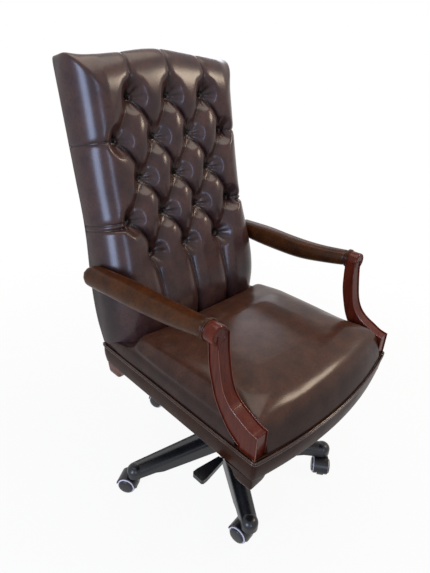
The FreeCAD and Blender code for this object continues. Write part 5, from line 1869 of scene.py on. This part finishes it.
@dataclass
class Underworks:
    """The star base, gas lift and tilt mechanism, whose shapes are the frame's own but for the spring."""

    spring_wire: float = 2.6
    spring_turns: int = 5
    turn_steps: int = 28
    tilt_keep: float = 0.7  # what the seat's tilt leaves of the spring's length
    foot_share: float = 0.4  # how much of the spring gives way to the preload; the rest does to the tilt
    preload: float = 0.006

    def spring(self, name: str, start: float, end: float, wire: bpy.types.Material) -> bpy.types.Object:
        """Winds a stretch of the tension spring, whose end turns are closed so that they lie flat.

        Args:
            name: The stretch's name.
            start: Where the stretch starts, as a share of the turns.
            end: Where it ends.
            wire: The spring steel.

        Returns:
            The piece.
        """
        low, high = (np.array(corner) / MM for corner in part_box("tension_spring"))
        radius = (high[0] - low[0]) / 2 - self.spring_wire
        middle = (low + high) / 2
        steps = round(self.turn_steps * self.spring_turns * (end - start))
        turns = self.spring_turns * np.linspace(start, end, steps + 1)
        bottom, top = low[2] + self.spring_wire, high[2] - self.spring_wire
        closed = 2.1 * self.spring_wire
        height = np.interp(turns, (0, 1, self.spring_turns - 1, self.spring_turns),
                           (bottom, bottom + closed, top - closed, top))
        angle = 2 * math.pi * turns
        line = np.stack([middle[0] + radius * np.cos(angle), middle[1] + radius * np.sin(angle), height],
                        axis=1)
        return cord_along(name, [line], self.spring_wire, wire, False)

    def build(self, stock: Stock) -> None:
        """Dresses every piece.

        Args:
            stock: The finishes.
        """
        dress(stock.nylon_black, "star_base", "lever_paddle", "tension_knob")
        dress(stock.painted, "lift_tube", "mechanism_housing", "seat_plate")
        dress(stock.bush, "lift_bush")
        dress(stock.chrome, "gas_cylinder")
        dress(stock.steel, "caster_stems", "thrust_bearing", "piston_rod", "rod_clip", "valve_button",
              "tilt_pin", "spring_seat", "tension_screw", "lever_shaft", "lever_rod")
        low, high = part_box("tension_spring")
        meeting = low[2] + self.foot_share * (high[2] - low[2])
        foot_keep = 1 - self.preload / (meeting - low[2])
        head_keep = 1 - (1 - self.tilt_keep) * (high[2] - low[2]) / (high[2] - meeting)
        for name, start, end, joint, keep in (
                ("coil_spring_foot", 0, self.foot_share, "spring_preload", foot_keep),
                ("coil_spring_head", self.foot_share, 1, "seat_tilt", head_keep)):
            coil = finished(self.spring(name, start, end, stock.spring_steel), "steel", "tension_spring",
                            body="carriage")
            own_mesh(coil)


# ---------------------------------------------------------------- studio
@dataclass(frozen=True)
class Lamp:
    """A soft rectangular lamp: where it hangs and what it faces in metres, its size, watts and colour."""

    name: str
    place: tuple[float, float, float]
    target: tuple[float, float, float]
    size: tuple[float, float]
    power: float
    colour: str

    def hang(self) -> None:
        """Hangs the lamp."""
        data = bpy.data.lights.new(self.name, "AREA")
        data.shape = "RECTANGLE"
        data.size, data.size_y = self.size
        data.energy = self.power
        data.color = linear(self.colour)[:3]
        away = Vector(self.place) - Vector(self.target)
        add_object(self.name, data).matrix_world = (
            Matrix.Translation(self.place) @ away.to_track_quat("Z", "Y").to_matrix().to_4x4())


LAMPS = (
    Lamp("window_left", (-2.9, -0.45, 1.2), (0, 0.1, 0.8), (0.95, 1.5), 84, "#bfd4ff"),
    Lamp("ceiling_soft", (0.2, 0.2, 3.0), (0, 0, 0.6), (2.2, 1.6), 41, "#fff1e0"),
    Lamp("warm_right", (1.9, -1.4, 2.4), (0, -0.1, 0.6), (0.8, 0.6), 39, "#ffe9cf"),
    Lamp("window_front", (-1.75, -2.6, 1.35), (0, 0.1, 0.9), (0.42, 1.1), 21, "#bfd4ff"),
    Lamp("window_rear", (2.3, 2.2, 2.1), (0, 0, 0.6), (1.5, 1.1), 13, "#eef2ff"))


@dataclass
class Studio:
    """The floor, the pale surround and the camera."""

    eye: tuple[float, float, float] = (-0.8517, -0.7127, 1.2075)
    yaw: float = 46.9
    pitch: float = -27.2
    roll: float = 2.9
    lens: float = 28.17
    floor_half: float = 30.0
    floor_mottle: float = 500.0
    dim_light: float = 0.27

    def camera(self) -> None:
        """Stands the camera where the chair is seen from its front left, looking down."""
        data = bpy.data.cameras.new("camera")
        data.lens, data.sensor_width = self.lens, 36
        data.clip_end = 50
        yaw, pitch, roll = (math.radians(a) for a in (self.yaw, self.pitch, self.roll))
        view = Vector((math.sin(yaw) * math.cos(pitch), math.cos(yaw) * math.cos(pitch), math.sin(pitch)))
        right = Vector((math.cos(yaw), -math.sin(yaw), 0))
        up = right.cross(view)
        x = right * math.cos(roll) + up * math.sin(roll)
        y = -right * math.sin(roll) + up * math.cos(roll)
        camera = add_object("camera", data)
        camera.matrix_world = Matrix.Translation(self.eye) @ Matrix((x, y, -view)).transposed().to_4x4()
        bpy.context.scene.camera = camera

    def floor(self) -> None:
        """Lays the pale floor; where it is looked at it shows its white and keeps the chair's shadow."""
        paint = Painter(bpy.data.materials.new("Painted_studio_floor"))
        place = paint.place()
        tone = paint.mix(paint.noise(place, self.floor_mottle), "#c9c9cc", "#d0d0d2")
        coat = paint.add("BsdfDiffuse", links={"Color": tone})
        glow = paint.add("Emission", links={"Color": (1, 1, 1, 1), "Strength": 1.0})
        reach = paint.add("VectorMath", {"operation": "LENGTH"}, {0: place}).outputs["Value"]
        fade = paint.span(reach, 0.5, 2.0, 0.93, 1, interpolation_type="SMOOTHSTEP")
        share = paint.calculate("MULTIPLY", paint.seen(), fade)
        paint.close("OutputMaterial", paint.add("MixShader", links={
            0: share, 1: coat.outputs[0], 2: glow.outputs[0]}))
        size = self.floor_half
        mesh = bpy.data.meshes.new("studio_floor")
        mesh.from_pydata([(-size, -size, 0), (size, -size, 0), (size, size, 0), (-size, size, 0)], [],
                         [(0, 1, 2, 3)])
        mesh.materials.append(paint.owner)
        add_object("studio_floor", mesh)

    def surround(self) -> None:
        """Fills the world: white where it is looked at, soft grey where it only lights."""
        world = bpy.data.worlds.new("surround")
        bpy.context.scene.world = world
        paint = Painter(world)
        level = paint.span(paint.seen(), 0, 1, self.dim_light, 1)
        paint.close("OutputWorld", paint.add("Background", links={
            "Color": (1, 1, 1, 1), "Strength": level}))

    def build(self) -> None:
        """Sets the studio up."""
        self.camera()
        self.floor()
        self.surround()
        for lamp in LAMPS:
            lamp.hang()
        bpy.context.scene.view_settings.view_transform = "Standard"


def main() -> None:
    """Builds the chair in order: studio, back, seat, arms, base."""
    logging.basicConfig(level=logging.INFO, format="%(message)s")
    Studio().build()
    stock = Stock()
    Back().build(stock)
    rails = SeatFrame()
    rails.build(stock)
    SeatCushion(rails).build(stock)
    for side, label in SIDES:
        Arm(side, label).build(stock)
    for number in range(1, 6):
        Caster(number).build(stock)
    Underworks().build(stock)
    bpy.context.view_layer.update()


if __name__ == "__main__":
    main()
